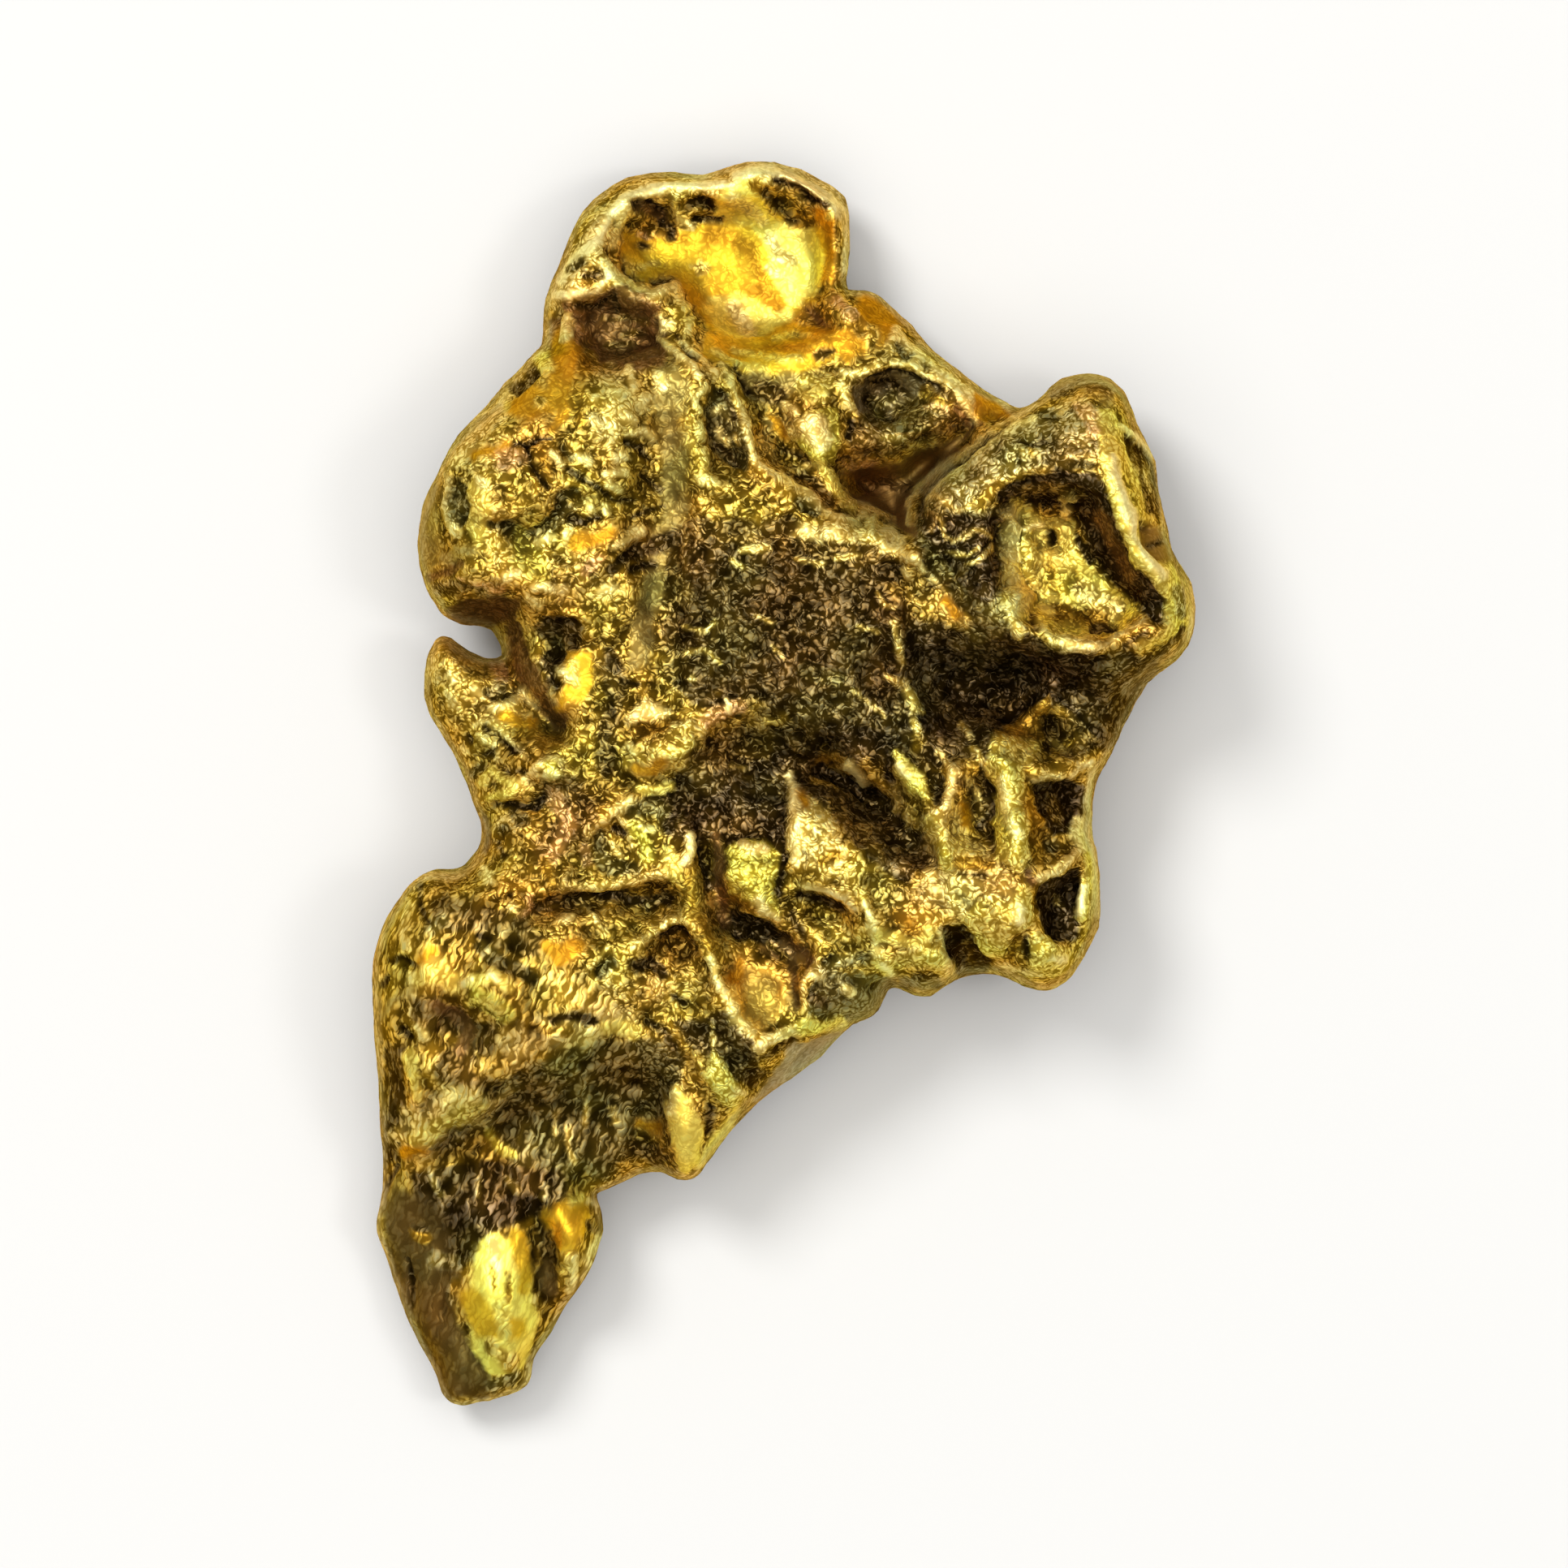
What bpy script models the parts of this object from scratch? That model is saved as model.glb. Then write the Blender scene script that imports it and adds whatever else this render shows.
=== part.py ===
"""A gold nugget: one natural, water-worn piece of native gold, lying on its back.

+Z is up, +Y runs along the nugget's length, and the origin is on the resting
plane below the middle of its box. Plan coordinates below are millimetres.
"""
import math

import bmesh
import bpy
import numpy as np
from mathutils import Vector, noise
from mathutils.geometry import delaunay_2d_cdt
from mathutils.kdtree import KDTree

MM = 0.001

# Driving sizes of the whole nugget, in millimetres.
LENGTH = 24.1
WIDTH = 15.9
THICKNESS = 5.7

# How the two faces turn into the side, and how high the side's widest line runs.
FRONT_ROUNDING = 1.35
BACK_ROUNDING = 2.1
ROUNDING_WANDER = 0.55
ROUNDING_WANDER_SIZE = 2.2
RIM_SHARE = 0.46
RIM_WANDER = 0.55
RIM_WANDER_SIZE = 3.0

# The face before its forms are added: a flat top that falls away at both ends.
MIDDLE_HEIGHT = 4.1
FOOT_FALL = 0.17
FOOT_FALL_FROM = -4.0
HEAD_FALL = 0.10
HEAD_FALL_FROM = 6.5
SIDE_FALL = 0.10
SIDE_FALL_FROM = -4.5

# The back: mostly clear of the ground, with worn flats that it rests on.
BACK_CLEARANCE = 0.60
LEAST_CLEARANCE = 0.25
BACK_LUMP_SIZE = 2.6
BACK_LUMP_HEIGHT = 0.38
BACK_GRAIN_SIZE = 1.0
BACK_GRAIN_HEIGHT = 0.152
FLAT_DEPTH = 1.05

# How round a lump's top is, and how sharp a ridge's crest is.
SWELL_POWER = 1.5
RIDGE_POWER = 1.25

# The lumps that wear leaves everywhere, and the roll it leaves along the edge.
LUMP_SIZE = 0.9
LUMP_HEIGHT = 0.10
GRAIN_SIZE = 0.42
GRAIN_HEIGHT = 0.05
SIDE_LUMP_SIZE = 1.3
SIDE_LUMP_HEIGHT = 0.26
SIDE_LUMP_STEEPNESS = 1.6
SIDE_LUMP_MARGIN = 0.5
EDGE_ROLL = 0.16
EDGE_ROLL_AT = 0.5
EDGE_ROLL_WIDTH = 0.35

# Mesh spacing. The shares say how near two places may lie, as parts of a step.
RIM_STEP = 0.28
FRONT_STEP = 0.296
BACK_STEP = 0.43
INSET_ROWS = (0.11, 0.32, 0.62)
INSET_SLACK = 0.93
ROW_SHARE = 0.62
LINE_SHARE = 0.70
GRID_SHARE = 0.78
STEP_LINES = (-0.42, 0.42)
RIM_CLEARANCE = 0.099
CROWDED_DEPTH = 0.3
CROWDED_SHARE = 0.4
MERGE_DISTANCE = 1e-6

GOLD = (0.72, 0.46, 0.09, 1.0)
GOLD_ROUGHNESS = 0.34

# The outline seen from above, clockwise from the left of the top lobe.
TOP_LOBE = [
    (-4.70, 8.48), (-4.65, 9.41), (-4.40, 9.97), (-4.09, 10.77), (-3.74, 11.33),
    (-3.04, 11.80), (-2.10, 11.93), (-1.58, 11.87), (-0.48, 12.09), (0.01, 12.07),
    (0.52, 11.89), (1.23, 11.40), (1.31, 10.63), (1.25, 9.90), (1.20, 9.59),
]
UPPER_ARM = [
    (1.56, 9.62), (1.89, 9.50), (2.52, 8.90), (2.95, 8.37), (3.52, 7.89),
    (4.29, 7.46), (4.55, 7.27),
]
RIGHT_LOBE = [
    (4.96, 7.54), (5.29, 7.85), (6.01, 7.99), (6.53, 7.66), (6.82, 6.99), (7.18, 6.27),
    (7.25, 5.60), (7.42, 4.64), (7.87, 3.93), (7.95, 3.55), (7.83, 2.73), (7.39, 2.22),
]
LOWER_RIGHT = [
    (7.06, 1.95), (6.65, 1.28), (6.29, 0.56), (6.03, -0.06), (5.96, -0.82),
    (6.09, -1.68), (6.12, -2.50), (6.01, -2.98), (5.55, -3.65), (5.39, -3.91),
    (5.05, -4.01), (4.67, -3.93), (3.95, -3.65), (3.28, -3.79), (2.85, -4.10),
    (2.52, -4.12), (2.13, -3.91), (2.01, -4.03),
]
SLANTED_EDGE = [
    (1.91, -4.39), (1.29, -4.67), (0.72, -5.29), (-0.14, -5.87), (-0.77, -6.44),
    (-1.24, -7.02), (-1.65, -7.55), (-1.86, -7.67), (-2.54, -7.50), (-3.16, -7.69),
    (-3.49, -7.83), (-3.63, -7.90),
]
LEG_TIP = [
    (-3.53, -8.10), (-3.44, -8.62), (-3.66, -9.28), (-4.12, -9.96), (-4.47, -10.60),
    (-4.82, -11.12), (-4.91, -11.65), (-5.44, -11.87), (-5.92, -12.00), (-6.49, -12.02),
    (-6.75, -11.47), (-7.15, -10.73), (-7.46, -9.94), (-7.76, -9.02), (-7.89, -8.54),
    (-7.79, -7.83), (-7.81, -6.78),
]
LEG_SIDE = [
    (-7.86, -5.71), (-7.95, -4.04), (-7.89, -3.24), (-7.66, -2.52), (-7.22, -1.93),
    (-6.74, -1.59), (-6.46, -1.61), (-6.18, -1.51), (-5.84, -1.05), (-5.84, -0.78),
]
FIN = [
    (-6.08, -0.12), (-6.45, 0.67), (-6.87, 1.37), (-6.96, 1.72), (-6.89, 2.55),
    (-6.60, 2.95), (-6.17, 2.71), (-5.68, 2.46), (-5.44, 2.49),
]
LEFT_LOBE = [
    (-5.51, 2.75), (-5.66, 2.99), (-6.25, 3.08), (-6.65, 3.34), (-6.96, 3.91),
    (-7.08, 4.59), (-6.98, 5.43), (-6.69, 5.99), (-6.30, 6.74), (-5.60, 7.57),
    (-4.89, 8.29), (-4.76, 8.43),
]
OUTLINE = (TOP_LOBE + UPPER_ARM + RIGHT_LOBE + LOWER_RIGHT + SLANTED_EDGE
           + LEG_TIP + LEG_SIDE + FIN + LEFT_LOBE)

# Broad lumps and dips of the face: name, centre x, y, reach x, y, turn in degrees, height.
SWELLS = [
    ("right lobe", 5.7, 4.6, 3.2, 3.9, 0, 1.25),
    ("right lobe head", 5.7, 7.0, 1.3, 1.2, 0, 0.25),
    ("left lobe", -4.7, 5.4, 2.8, 3.2, 0, 0.75),
    ("fin", -5.9, 1.3, 1.7, 2.0, 0, -0.45),
    ("valley under the right lobe", 4.4, 1.7, 3.2, 1.2, -8, -1.15),
    ("lower right block", 3.6, -1.9, 3.2, 2.6, 0, 0.55),
    ("upper leg", -5.2, -3.9, 3.2, 2.9, 0, 0.65),
    ("middle plate", 0.2, 2.6, 3.4, 3.0, 0, 0.35),
    ("dip in the middle", 0.3, 0.3, 2.6, 1.0, -20, -0.55),
    ("smooth trough", -2.4, 4.8, 0.8, 3.6, 5, -0.45),
    ("bead patch on the left lobe", -3.2, 7.0, 1.1, 1.0, 0, 0.30),
    ("lump on the left lobe", -5.9, 5.6, 1.0, 1.5, 10, 0.25),
    ("dip on the left lobe", -4.5, 4.6, 1.4, 0.7, 20, -0.35),
    ("bulge in the arm", 0.55, 7.0, 0.7, 1.0, -10, 0.50),
    ("orange dip in the arm", 3.9, 7.15, 0.5, 0.5, 0, -0.25),
    ("golden lump", -2.2, 0.7, 1.1, 0.8, 15, 0.40),
    ("lump beside the crack", -0.6, -1.8, 0.8, 0.9, 0, 0.45),
    ("knob at the lower corner", 5.0, -3.2, 0.7, 0.6, 20, 0.45),
    ("knob beside the recess", 4.15, -2.5, 0.7, 0.9, -15, 0.45),
    ("round dip", 5.1, -1.25, 0.5, 0.4, 0, -0.35),
    ("dip on the leg", -6.2, -4.7, 0.8, 0.9, 0, -0.45),
    ("lime knob on the leg", -5.5, -3.8, 0.8, 0.8, 0, 0.30),
    ("leg tip crown", -5.5, -9.7, 0.9, 1.9, 8, 0.55),
    ("leg tip shoulder", -4.2, -8.7, 0.6, 0.9, 10, 0.30),
    ("dent left of the tip", -6.9, -9.2, 0.8, 1.4, 10, -0.40),
    ("pit in the right pocket", 5.1, 4.75, 0.4, 0.35, 0, -0.35),
    ("eye pit", -6.2, 5.4, 0.35, 0.6, 0, -0.30),
    ("hole in the top bowl", -2.4, 11.0, 0.45, 0.35, -40, -0.50),
    ("right hole in the top bowl", 0.1, 11.3, 0.45, 0.35, -35, -0.45),
    ("shoulder of the top lobe", -4.0, 9.4, 0.8, 0.9, 0, 0.25),
]

# Steps, ledges and pits: name, height, width of the step, corners.
LEDGES = [
    ("lower level of the top lobe and the arm", -0.95, 0.55, [
        (-5.6, 9.1), (-4.2, 8.8), (-3.5, 8.1), (-2.3, 8.3), (-1.5, 8.0), (-1.0, 7.7),
        (-0.75, 6.9), (-0.5, 6.3), (0.1, 5.8), (0.9, 5.2), (1.6, 5.15), (2.3, 4.7),
        (2.45, 5.4), (3.0, 6.0), (3.6, 6.5), (4.4, 7.0), (4.9, 7.6), (3.0, 13.5),
        (-5.0, 13.5)]),
    ("bowl of the top lobe", -1.10, 1.05, [
        (-3.3, 10.9), (-3.0, 9.7), (-2.2, 9.6), (-1.7, 9.0), (-1.2, 8.6), (-0.2, 8.4),
        (0.7, 8.8), (0.95, 9.6), (0.85, 10.6), (0.4, 11.3), (-0.3, 11.4), (-1.2, 11.2),
        (-2.4, 11.4)]),
    ("dark recess below the top lobe", -0.60, 0.45, [
        (-4.1, 9.2), (-3.3, 9.4), (-2.5, 9.2), (-2.1, 8.7), (-2.3, 8.2), (-3.0, 7.9),
        (-3.6, 8.0), (-3.9, 8.6)]),
    ("deep pocket beside the arm", -1.35, 0.50, [
        (1.1, 6.1), (2.0, 6.2), (2.8, 6.5), (3.6, 6.85), (4.2, 7.0), (3.5, 6.35),
        (3.0, 5.9), (2.45, 5.3), (2.35, 4.7), (1.8, 5.15), (1.2, 5.45)]),
    ("recess in the arm", -0.50, 0.35, [
        (1.5, 7.5), (1.9, 7.85), (2.4, 7.8), (2.9, 7.6), (2.6, 7.1), (1.6, 7.0)]),
    ("hollow beside the middle plate", -0.55, 0.35, [
        (-1.35, 7.75), (-1.05, 7.4), (-0.95, 6.8), (-0.75, 6.2), (-0.5, 5.9), (-1.3, 6.05),
        (-1.5, 6.6), (-1.5, 7.3)]),
    ("pocket of the right lobe", -1.35, 0.60, [
        (4.2, 5.4), (5.1, 5.55), (5.75, 5.35), (6.05, 4.7), (6.55, 3.95), (6.95, 3.35),
        (6.55, 2.95), (5.8, 2.85), (4.9, 3.1), (4.35, 3.4), (4.1, 4.0), (4.05, 4.8)]),
    ("hollow under the tent", -0.70, 0.35, [
        (4.75, 0.05), (5.5, 0.1), (5.75, 0.2), (5.65, -0.4), (5.35, -0.75), (4.9, -0.3)]),
    ("dent in the tent", -0.35, 0.35, [(5.0, 1.3), (5.9, 0.7), (5.6, 0.5), (4.9, 0.45)]),
    ("hollow at the right edge", -0.85, 0.35, [
        (4.85, -1.9), (5.5, -1.55), (5.65, -2.0), (5.55, -2.6), (5.35, -2.95),
        (5.0, -2.8), (4.8, -2.3)]),
    ("recess at the lower edge", -0.75, 0.40, [
        (3.0, -2.6), (3.45, -2.95), (4.1, -3.5), (4.0, -4.0), (3.3, -4.1), (3.2, -3.4)]),
    ("raised wedge", 0.50, 0.55, [
        (0.15, 0.15), (1.2, -0.7), (1.9, -1.5), (1.3, -2.0), (0.1, -1.6)]),
    ("dent below the wedge", -0.35, 0.35, [
        (0.3, -2.2), (0.9, -2.15), (1.25, -2.4), (1.2, -2.8), (0.6, -2.6)]),
    ("hollow right of the crack", -0.60, 0.40, [
        (-1.0, -2.55), (-0.4, -2.7), (0.1, -3.0), (0.6, -3.3), (0.2, -3.45), (-0.6, -3.1)]),
    ("smooth facet above the slanted edge", -0.25, 0.45, [
        (-1.2, -3.2), (-0.6, -3.4), (0.1, -3.7), (0.15, -4.3), (-0.3, -4.6), (-0.8, -4.2)]),
    ("wall along the slanted edge", -1.15, 0.60, [
        (-0.4, -5.5), (0.3, -5.05), (1.2, -4.75), (2.2, -4.2), (3.0, -5.0), (0.0, -7.5),
        (-1.2, -7.2), (-0.9, -6.3)]),
    ("slope above the leg tip", -0.95, 1.50, [
        (-9.0, -6.4), (-7.0, -6.7), (-5.0, -5.9), (-3.2, -5.4), (-2.0, -5.6), (-2.1, -9.0),
        (-3.0, -13.5), (-9.0, -13.5)]),
    ("fin set below the middle", -0.45, 0.50, [
        (-8.0, 3.4), (-5.6, 2.6), (-5.1, 1.9), (-4.8, 1.2), (-5.0, 0.4), (-5.6, 0.0),
        (-6.8, -0.6)]),
    ("undercut of the left lobe", -0.75, 0.45, [
        (-6.9, 3.5), (-6.2, 3.6), (-5.2, 3.5), (-4.8, 3.15), (-4.7, 2.6), (-5.2, 2.4),
        (-6.9, 2.9)]),
    ("black recess above the cleft", -0.65, 0.35, [
        (-4.7, 3.1), (-4.1, 3.15), (-4.1, 2.6), (-4.5, 2.2)]),
    ("dent in the leg's foot", -0.30, 0.40, [
        (-3.0, -6.5), (-2.4, -6.5), (-2.3, -7.2), (-2.9, -7.1)]),
]

# Crests and cracks: name, height, half width, course.
RIDGES = [
    ("edge of the middle plate", 0.34, 0.36, [
        (-1.15, 7.9), (-0.85, 7.4), (-0.7, 6.7), (-0.55, 6.3), (-0.3, 6.0), (0.1, 5.7),
        (0.5, 5.5), (0.9, 5.15), (1.6, 5.1), (2.2, 4.7), (2.5, 4.2)]),
    ("edge of the right lobe", 0.34, 0.34, [
        (2.6, 4.4), (2.45, 4.9), (2.5, 5.4), (3.05, 5.95), (3.65, 6.45), (4.4, 6.95),
        (4.9, 7.3)]),
    ("crest of the right lobe", 0.42, 0.50, [
        (5.9, 7.4), (6.15, 6.6), (6.3, 5.8), (6.5, 5.05), (6.85, 4.3), (7.2, 3.75),
        (7.35, 3.3), (7.15, 2.9), (6.8, 2.75)]),
    ("lower rim of the right pocket", 0.32, 0.34, [
        (4.3, 3.3), (4.8, 2.95), (5.3, 2.72), (5.9, 2.62), (6.4, 2.78), (6.85, 3.0)]),
    ("rim of the top lobe", 0.40, 0.50, [
        (-4.3, 9.6), (-4.0, 10.15), (-3.45, 10.9), (-3.0, 11.3), (-2.1, 11.55),
        (-1.0, 11.5), (-0.5, 11.7), (0.1, 11.7), (0.6, 11.45), (0.95, 11.0),
        (1.0, 10.2), (0.95, 9.6)]),
    ("left lip of the top bowl", 0.40, 0.36, [
        (-3.5, 10.1), (-3.1, 9.5), (-2.6, 9.35), (-2.15, 9.45), (-1.9, 8.8), (-1.75, 8.4)]),
    ("lower lip of the top bowl", 0.28, 0.40, [
        (-1.5, 8.45), (-0.5, 8.05), (0.3, 8.25), (0.9, 8.7), (1.3, 9.1)]),
    ("seam beside the plate's corner", 0.26, 0.26, [
        (-2.3, 8.7), (-2.0, 8.25), (-1.6, 7.9), (-1.6, 7.3), (-1.65, 6.8), (-1.55, 6.2)]),
    ("outer ridge of the arm", 0.34, 0.34, [
        (2.1, 8.75), (2.5, 8.3), (2.9, 7.95), (3.3, 7.6), (3.75, 7.35)]),
    ("inner ridge of the arm", 0.30, 0.28, [
        (1.2, 7.6), (1.5, 7.85), (1.9, 7.98), (2.4, 7.88), (2.9, 7.72)]),
    ("lower ridge of the arm", 0.26, 0.28, [(0.9, 6.55), (1.5, 6.5), (2.2, 6.6), (2.9, 6.9)]),
    ("yellow rib beside the pocket", 0.38, 0.28, [(0.65, 6.35), (0.9, 5.85), (1.15, 5.45)]),
    ("left side of the tent", 0.42, 0.40, [(5.0, 1.65), (4.5, 1.25), (4.0, 0.85)]),
    ("right side of the tent", 0.36, 0.34, [(5.0, 1.65), (5.55, 1.25), (6.1, 0.85)]),
    ("sill of the tent", 0.32, 0.26, [(4.75, 0.25), (5.3, 0.28), (5.9, 0.5)]),
    ("bright column", 0.50, 0.50, [(4.15, 0.75), (4.3, 0.0), (4.4, -0.6), (4.45, -1.4)]),
    ("rim of the right edge", 0.34, 0.34, [
        (5.95, 0.4), (5.8, -0.3), (5.75, -0.8), (5.82, -1.4), (5.85, -2.0), (5.8, -2.5)]),
    ("bridge between the right hollows", 0.40, 0.30, [(4.75, -1.95), (5.2, -1.65), (5.65, -1.35)]),
    ("black groove", -0.80, 0.52, [(0.75, 0.35), (1.4, -0.1), (2.0, -0.5), (2.55, -1.15)]),
    ("dark slot beside the column", -0.45, 0.36, [(3.75, 0.1), (3.85, -0.5), (3.8, -1.0)]),
    ("upper fleck of the middle", 0.30, 0.28, [(2.05, 3.1), (2.2, 2.6), (2.25, 2.2)]),
    ("lower fleck of the middle", 0.34, 0.30, [(2.0, 2.05), (2.35, 1.75), (2.55, 1.1)]),
    ("first tooth", 0.36, 0.30, [(1.3, 0.45), (1.5, 0.15), (1.75, 0.0)]),
    ("second tooth", 0.40, 0.34, [(2.15, 0.55), (2.4, 0.15), (2.65, -0.25)]),
    ("third tooth", 0.42, 0.38, [(3.4, 0.2), (3.1, -0.3), (2.9, -0.8), (3.05, -1.3)]),
    ("bright lower band", 0.28, 0.36, [(1.85, -3.55), (2.5, -3.4), (3.05, -3.5)]),
    ("line above the band", 0.30, 0.28, [(1.5, -2.2), (1.75, -2.7), (1.9, -3.2)]),
    ("brow below the wedge", 0.32, 0.28, [(0.35, -1.9), (0.9, -2.0), (1.3, -2.25), (1.45, -2.6)]),
    ("long ridge of the middle", 0.42, 0.40, [
        (-1.85, -0.95), (-1.75, -1.5), (-1.65, -2.2), (-1.5, -2.9), (-1.35, -3.4),
        (-1.1, -4.1), (-0.7, -4.9)]),
    ("crack beside the long ridge", -0.62, 0.32, [
        (-1.65, -1.1), (-1.45, -1.7), (-1.3, -2.3), (-0.95, -2.8)]),
    ("upper left fold", 0.34, 0.32, [(-4.3, -1.95), (-3.5, -1.9), (-2.9, -1.8), (-2.1, -1.7)]),
    ("groove under the fold", -0.48, 0.36, [
        (-4.7, -2.4), (-4.0, -2.22), (-3.3, -2.15), (-2.1, -2.15)]),
    ("lower left fold", 0.34, 0.30, [
        (-3.0, -3.1), (-2.5, -2.9), (-2.05, -2.65), (-1.7, -2.85), (-1.5, -3.15)]),
    ("groove under the lower fold", -0.42, 0.26, [(-2.3, -3.0), (-2.0, -2.95), (-1.65, -3.15)]),
    ("rib by the golden lump", 0.26, 0.28, [(-3.9, -0.95), (-3.4, -0.55), (-2.9, -0.3)]),
    ("rib at the fin's root", 0.28, 0.30, [(-5.3, 1.0), (-4.9, 0.5), (-4.5, 0.25), (-4.1, 0.25)]),
    ("loop at the fin's root", 0.26, 0.26, [(-5.8, 0.1), (-5.5, -0.25), (-5.1, -0.1)]),
    ("crease under the fin", -0.42, 0.28, [(-5.5, -0.45), (-5.0, -0.42), (-4.6, -0.25)]),
    ("cleft between the fin and the left lobe", -1.10, 0.42, [
        (-5.7, 2.65), (-5.15, 2.1), (-4.75, 1.5), (-4.4, 1.05)]),
    ("brow of the left lobe", 0.28, 0.36, [(-6.7, 3.9), (-6.1, 4.15), (-5.3, 4.0), (-4.6, 3.6)]),
    ("groove across the left lobe", -0.34, 0.32, [
        (-5.4, 4.9), (-4.9, 4.75), (-4.4, 5.1), (-3.8, 5.4), (-3.1, 5.35)]),
    ("slanted rib of the leg", 0.30, 0.40, [(-5.9, -5.9), (-6.5, -6.4), (-7.1, -7.0)]),
    ("upper rib of the slanted edge", 0.40, 0.34, [(-1.35, -5.1), (-1.15, -5.7), (-0.8, -6.1)]),
    ("edge above the slanted wall", 0.34, 0.34, [(-0.8, -6.1), (-1.1, -6.6), (-1.55, -7.2)]),
    ("thorn of the slanted edge", 0.60, 0.36, [(-2.05, -5.8), (-1.95, -6.5), (-1.85, -7.35)]),
    ("ledge above the slanted wall", 0.36, 0.34, [
        (-0.5, -5.05), (0.0, -4.75), (1.0, -4.55), (1.9, -4.1)]),
    ("curl above the slanted wall", 0.28, 0.28, [(0.7, -3.2), (0.4, -3.7), (0.5, -4.4)]),
    ("rib of the tip's shoulder", 0.30, 0.34, [(-4.3, -8.2), (-4.0, -8.8), (-4.1, -9.6)]),
    ("groove beside the tip", -0.36, 0.34, [(-4.75, -8.3), (-4.55, -9.2), (-4.6, -10.2)]),
    ("left edge of the leg", 0.26, 0.36, [(-7.35, -3.0), (-7.45, -4.4), (-7.4, -5.8)]),
    ("rib down the leg", 0.24, 0.36, [(-6.7, -2.4), (-6.9, -3.6), (-6.8, -5.4)]),
]

# The flats that it rests on, and the forms of its back: same fields as SWELLS.
RESTING_FLATS = [
    ("flat behind the top lobe", -1.5, 8.2, 2.5, 2.2, 0, 1.0),
    ("flat behind the right side", 4.0, 0.9, 2.5, 2.9, 20, 1.0),
    ("flat behind the leg", -5.4, -5.8, 2.3, 3.0, 0, 1.0),
]
BACK_SWELLS = [
    ("long hollow", -1.6, 0.6, 3.0, 4.6, 25, 1.00),
    ("hollow behind the right lobe", 5.2, 4.6, 2.4, 2.2, 0, 0.90),
    ("hollow behind the slanted edge", -1.8, -4.6, 2.4, 1.6, -40, 0.60),
    ("hollow behind the left lobe", -5.1, 5.6, 1.7, 2.0, 0, 0.70),
    ("hollow behind the tip", -5.8, -9.4, 1.4, 2.2, 10, 0.80),
    ("lump behind the arm", 2.2, 6.0, 2.0, 1.6, -40, -0.30),
    ("lump behind the left side", -4.4, 1.4, 1.4, 1.8, 0, -0.40),
    ("pit behind the middle", 0.6, 3.4, 1.0, 0.8, 30, 0.50),
]
BACK_RIDGES = [
    ("back seam", 0.45, 0.60, [(-4.2, 7.6), (-2.6, 5.4), (-2.2, 3.0), (-3.0, 0.6), (-2.6, -1.8)]),
    ("back rib", -0.40, 0.70, [(3.4, 5.6), (1.4, 3.9), (0.2, 1.6), (0.4, -1.4), (-1.2, -3.6)]),
    ("back crack", 0.40, 0.45, [(5.8, -0.6), (3.2, -2.2), (0.4, -2.6)]),
    ("back rib of the leg", -0.35, 0.60, [(-6.6, -3.0), (-4.6, -4.2), (-2.6, -6.2)]),
]


def smooth_step(share):
    """0 below 0, 1 above 1, and a smooth rise between."""
    share = np.clip(share, 0.0, 1.0)
    return share * share * (3.0 - 2.0 * share)


def smooth_loop(corners, step):
    """A closed Catmull-Rom curve through the corners, with points about a step apart."""
    corners = np.array(corners)
    points = []
    for i, (start, end) in enumerate(zip(corners, np.roll(corners, -1, axis=0))):
        before = corners[i - 1]
        after = corners[(i + 2) % len(corners)]
        pieces = max(1, round(float(np.linalg.norm(end - start)) / step))
        for t in np.arange(pieces) / pieces:
            points.append(0.5 * (2 * start + (end - before) * t
                                 + (2 * before - 5 * start + 4 * end - after) * t ** 2
                                 + (3 * start - before - 3 * end + after) * t ** 3))
    return np.array(points)


def path_distance(places, path, closed=False):
    """How far each place is from a path."""
    path = np.array(path)
    starts = path if closed else path[:-1]
    ends = np.roll(path, -1, axis=0) if closed else path[1:]
    nearest = np.full(len(places), np.inf)
    for start, end in zip(starts, ends):
        along = end - start
        share = np.clip((places - start) @ along / (along @ along), 0.0, 1.0)
        gap = np.linalg.norm(places - start - share[:, None] * along, axis=1)
        nearest = np.minimum(nearest, gap)
    return nearest


def depth_inside(places, loop):
    """Distance to a closed loop: positive inside it, negative outside."""
    loop = np.array(loop)
    inside = np.zeros(len(places), dtype=bool)
    x, y = places[:, 0], places[:, 1]
    for (ax, ay), (bx, by) in zip(loop, np.roll(loop, -1, axis=0)):
        if ay != by:
            crosses = (ay > y) != (by > y)
            inside ^= crosses & (x < ax + (y - ay) * (bx - ax) / (by - ay))
    return np.where(inside, 1.0, -1.0) * path_distance(places, loop, closed=True)


def swell(places, centre_x, centre_y, reach_x, reach_y, turn, height):
    """One smooth lump, or a dip where its height is negative."""
    angle = math.radians(turn)
    away = places - np.array([centre_x, centre_y])
    across = (away[:, 0] * math.cos(angle) + away[:, 1] * math.sin(angle)) / reach_x
    along = (away[:, 1] * math.cos(angle) - away[:, 0] * math.sin(angle)) / reach_y
    inside = np.clip(1.0 - across ** 2 - along ** 2, 0.0, 1.0)
    return height * inside ** SWELL_POWER


def ledge(places, height, step_width, corners):
    """A raised or sunken patch with a step round it."""
    return height * smooth_step(depth_inside(places, corners) / step_width + 0.5)


def ridge(places, height, half_width, path):
    """A crest along a path, or a crack where its height is negative."""
    share = np.clip(1.0 - path_distance(places, path) / half_width, 0.0, 1.0)
    return height * share ** RIDGE_POWER


def lumps(places, size, height, layer):
    """Small lumps from smooth noise; the layer picks which noise."""
    return height * np.array([noise.noise(Vector((x / size, y / size, layer)))
                              for x, y in places])


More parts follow.
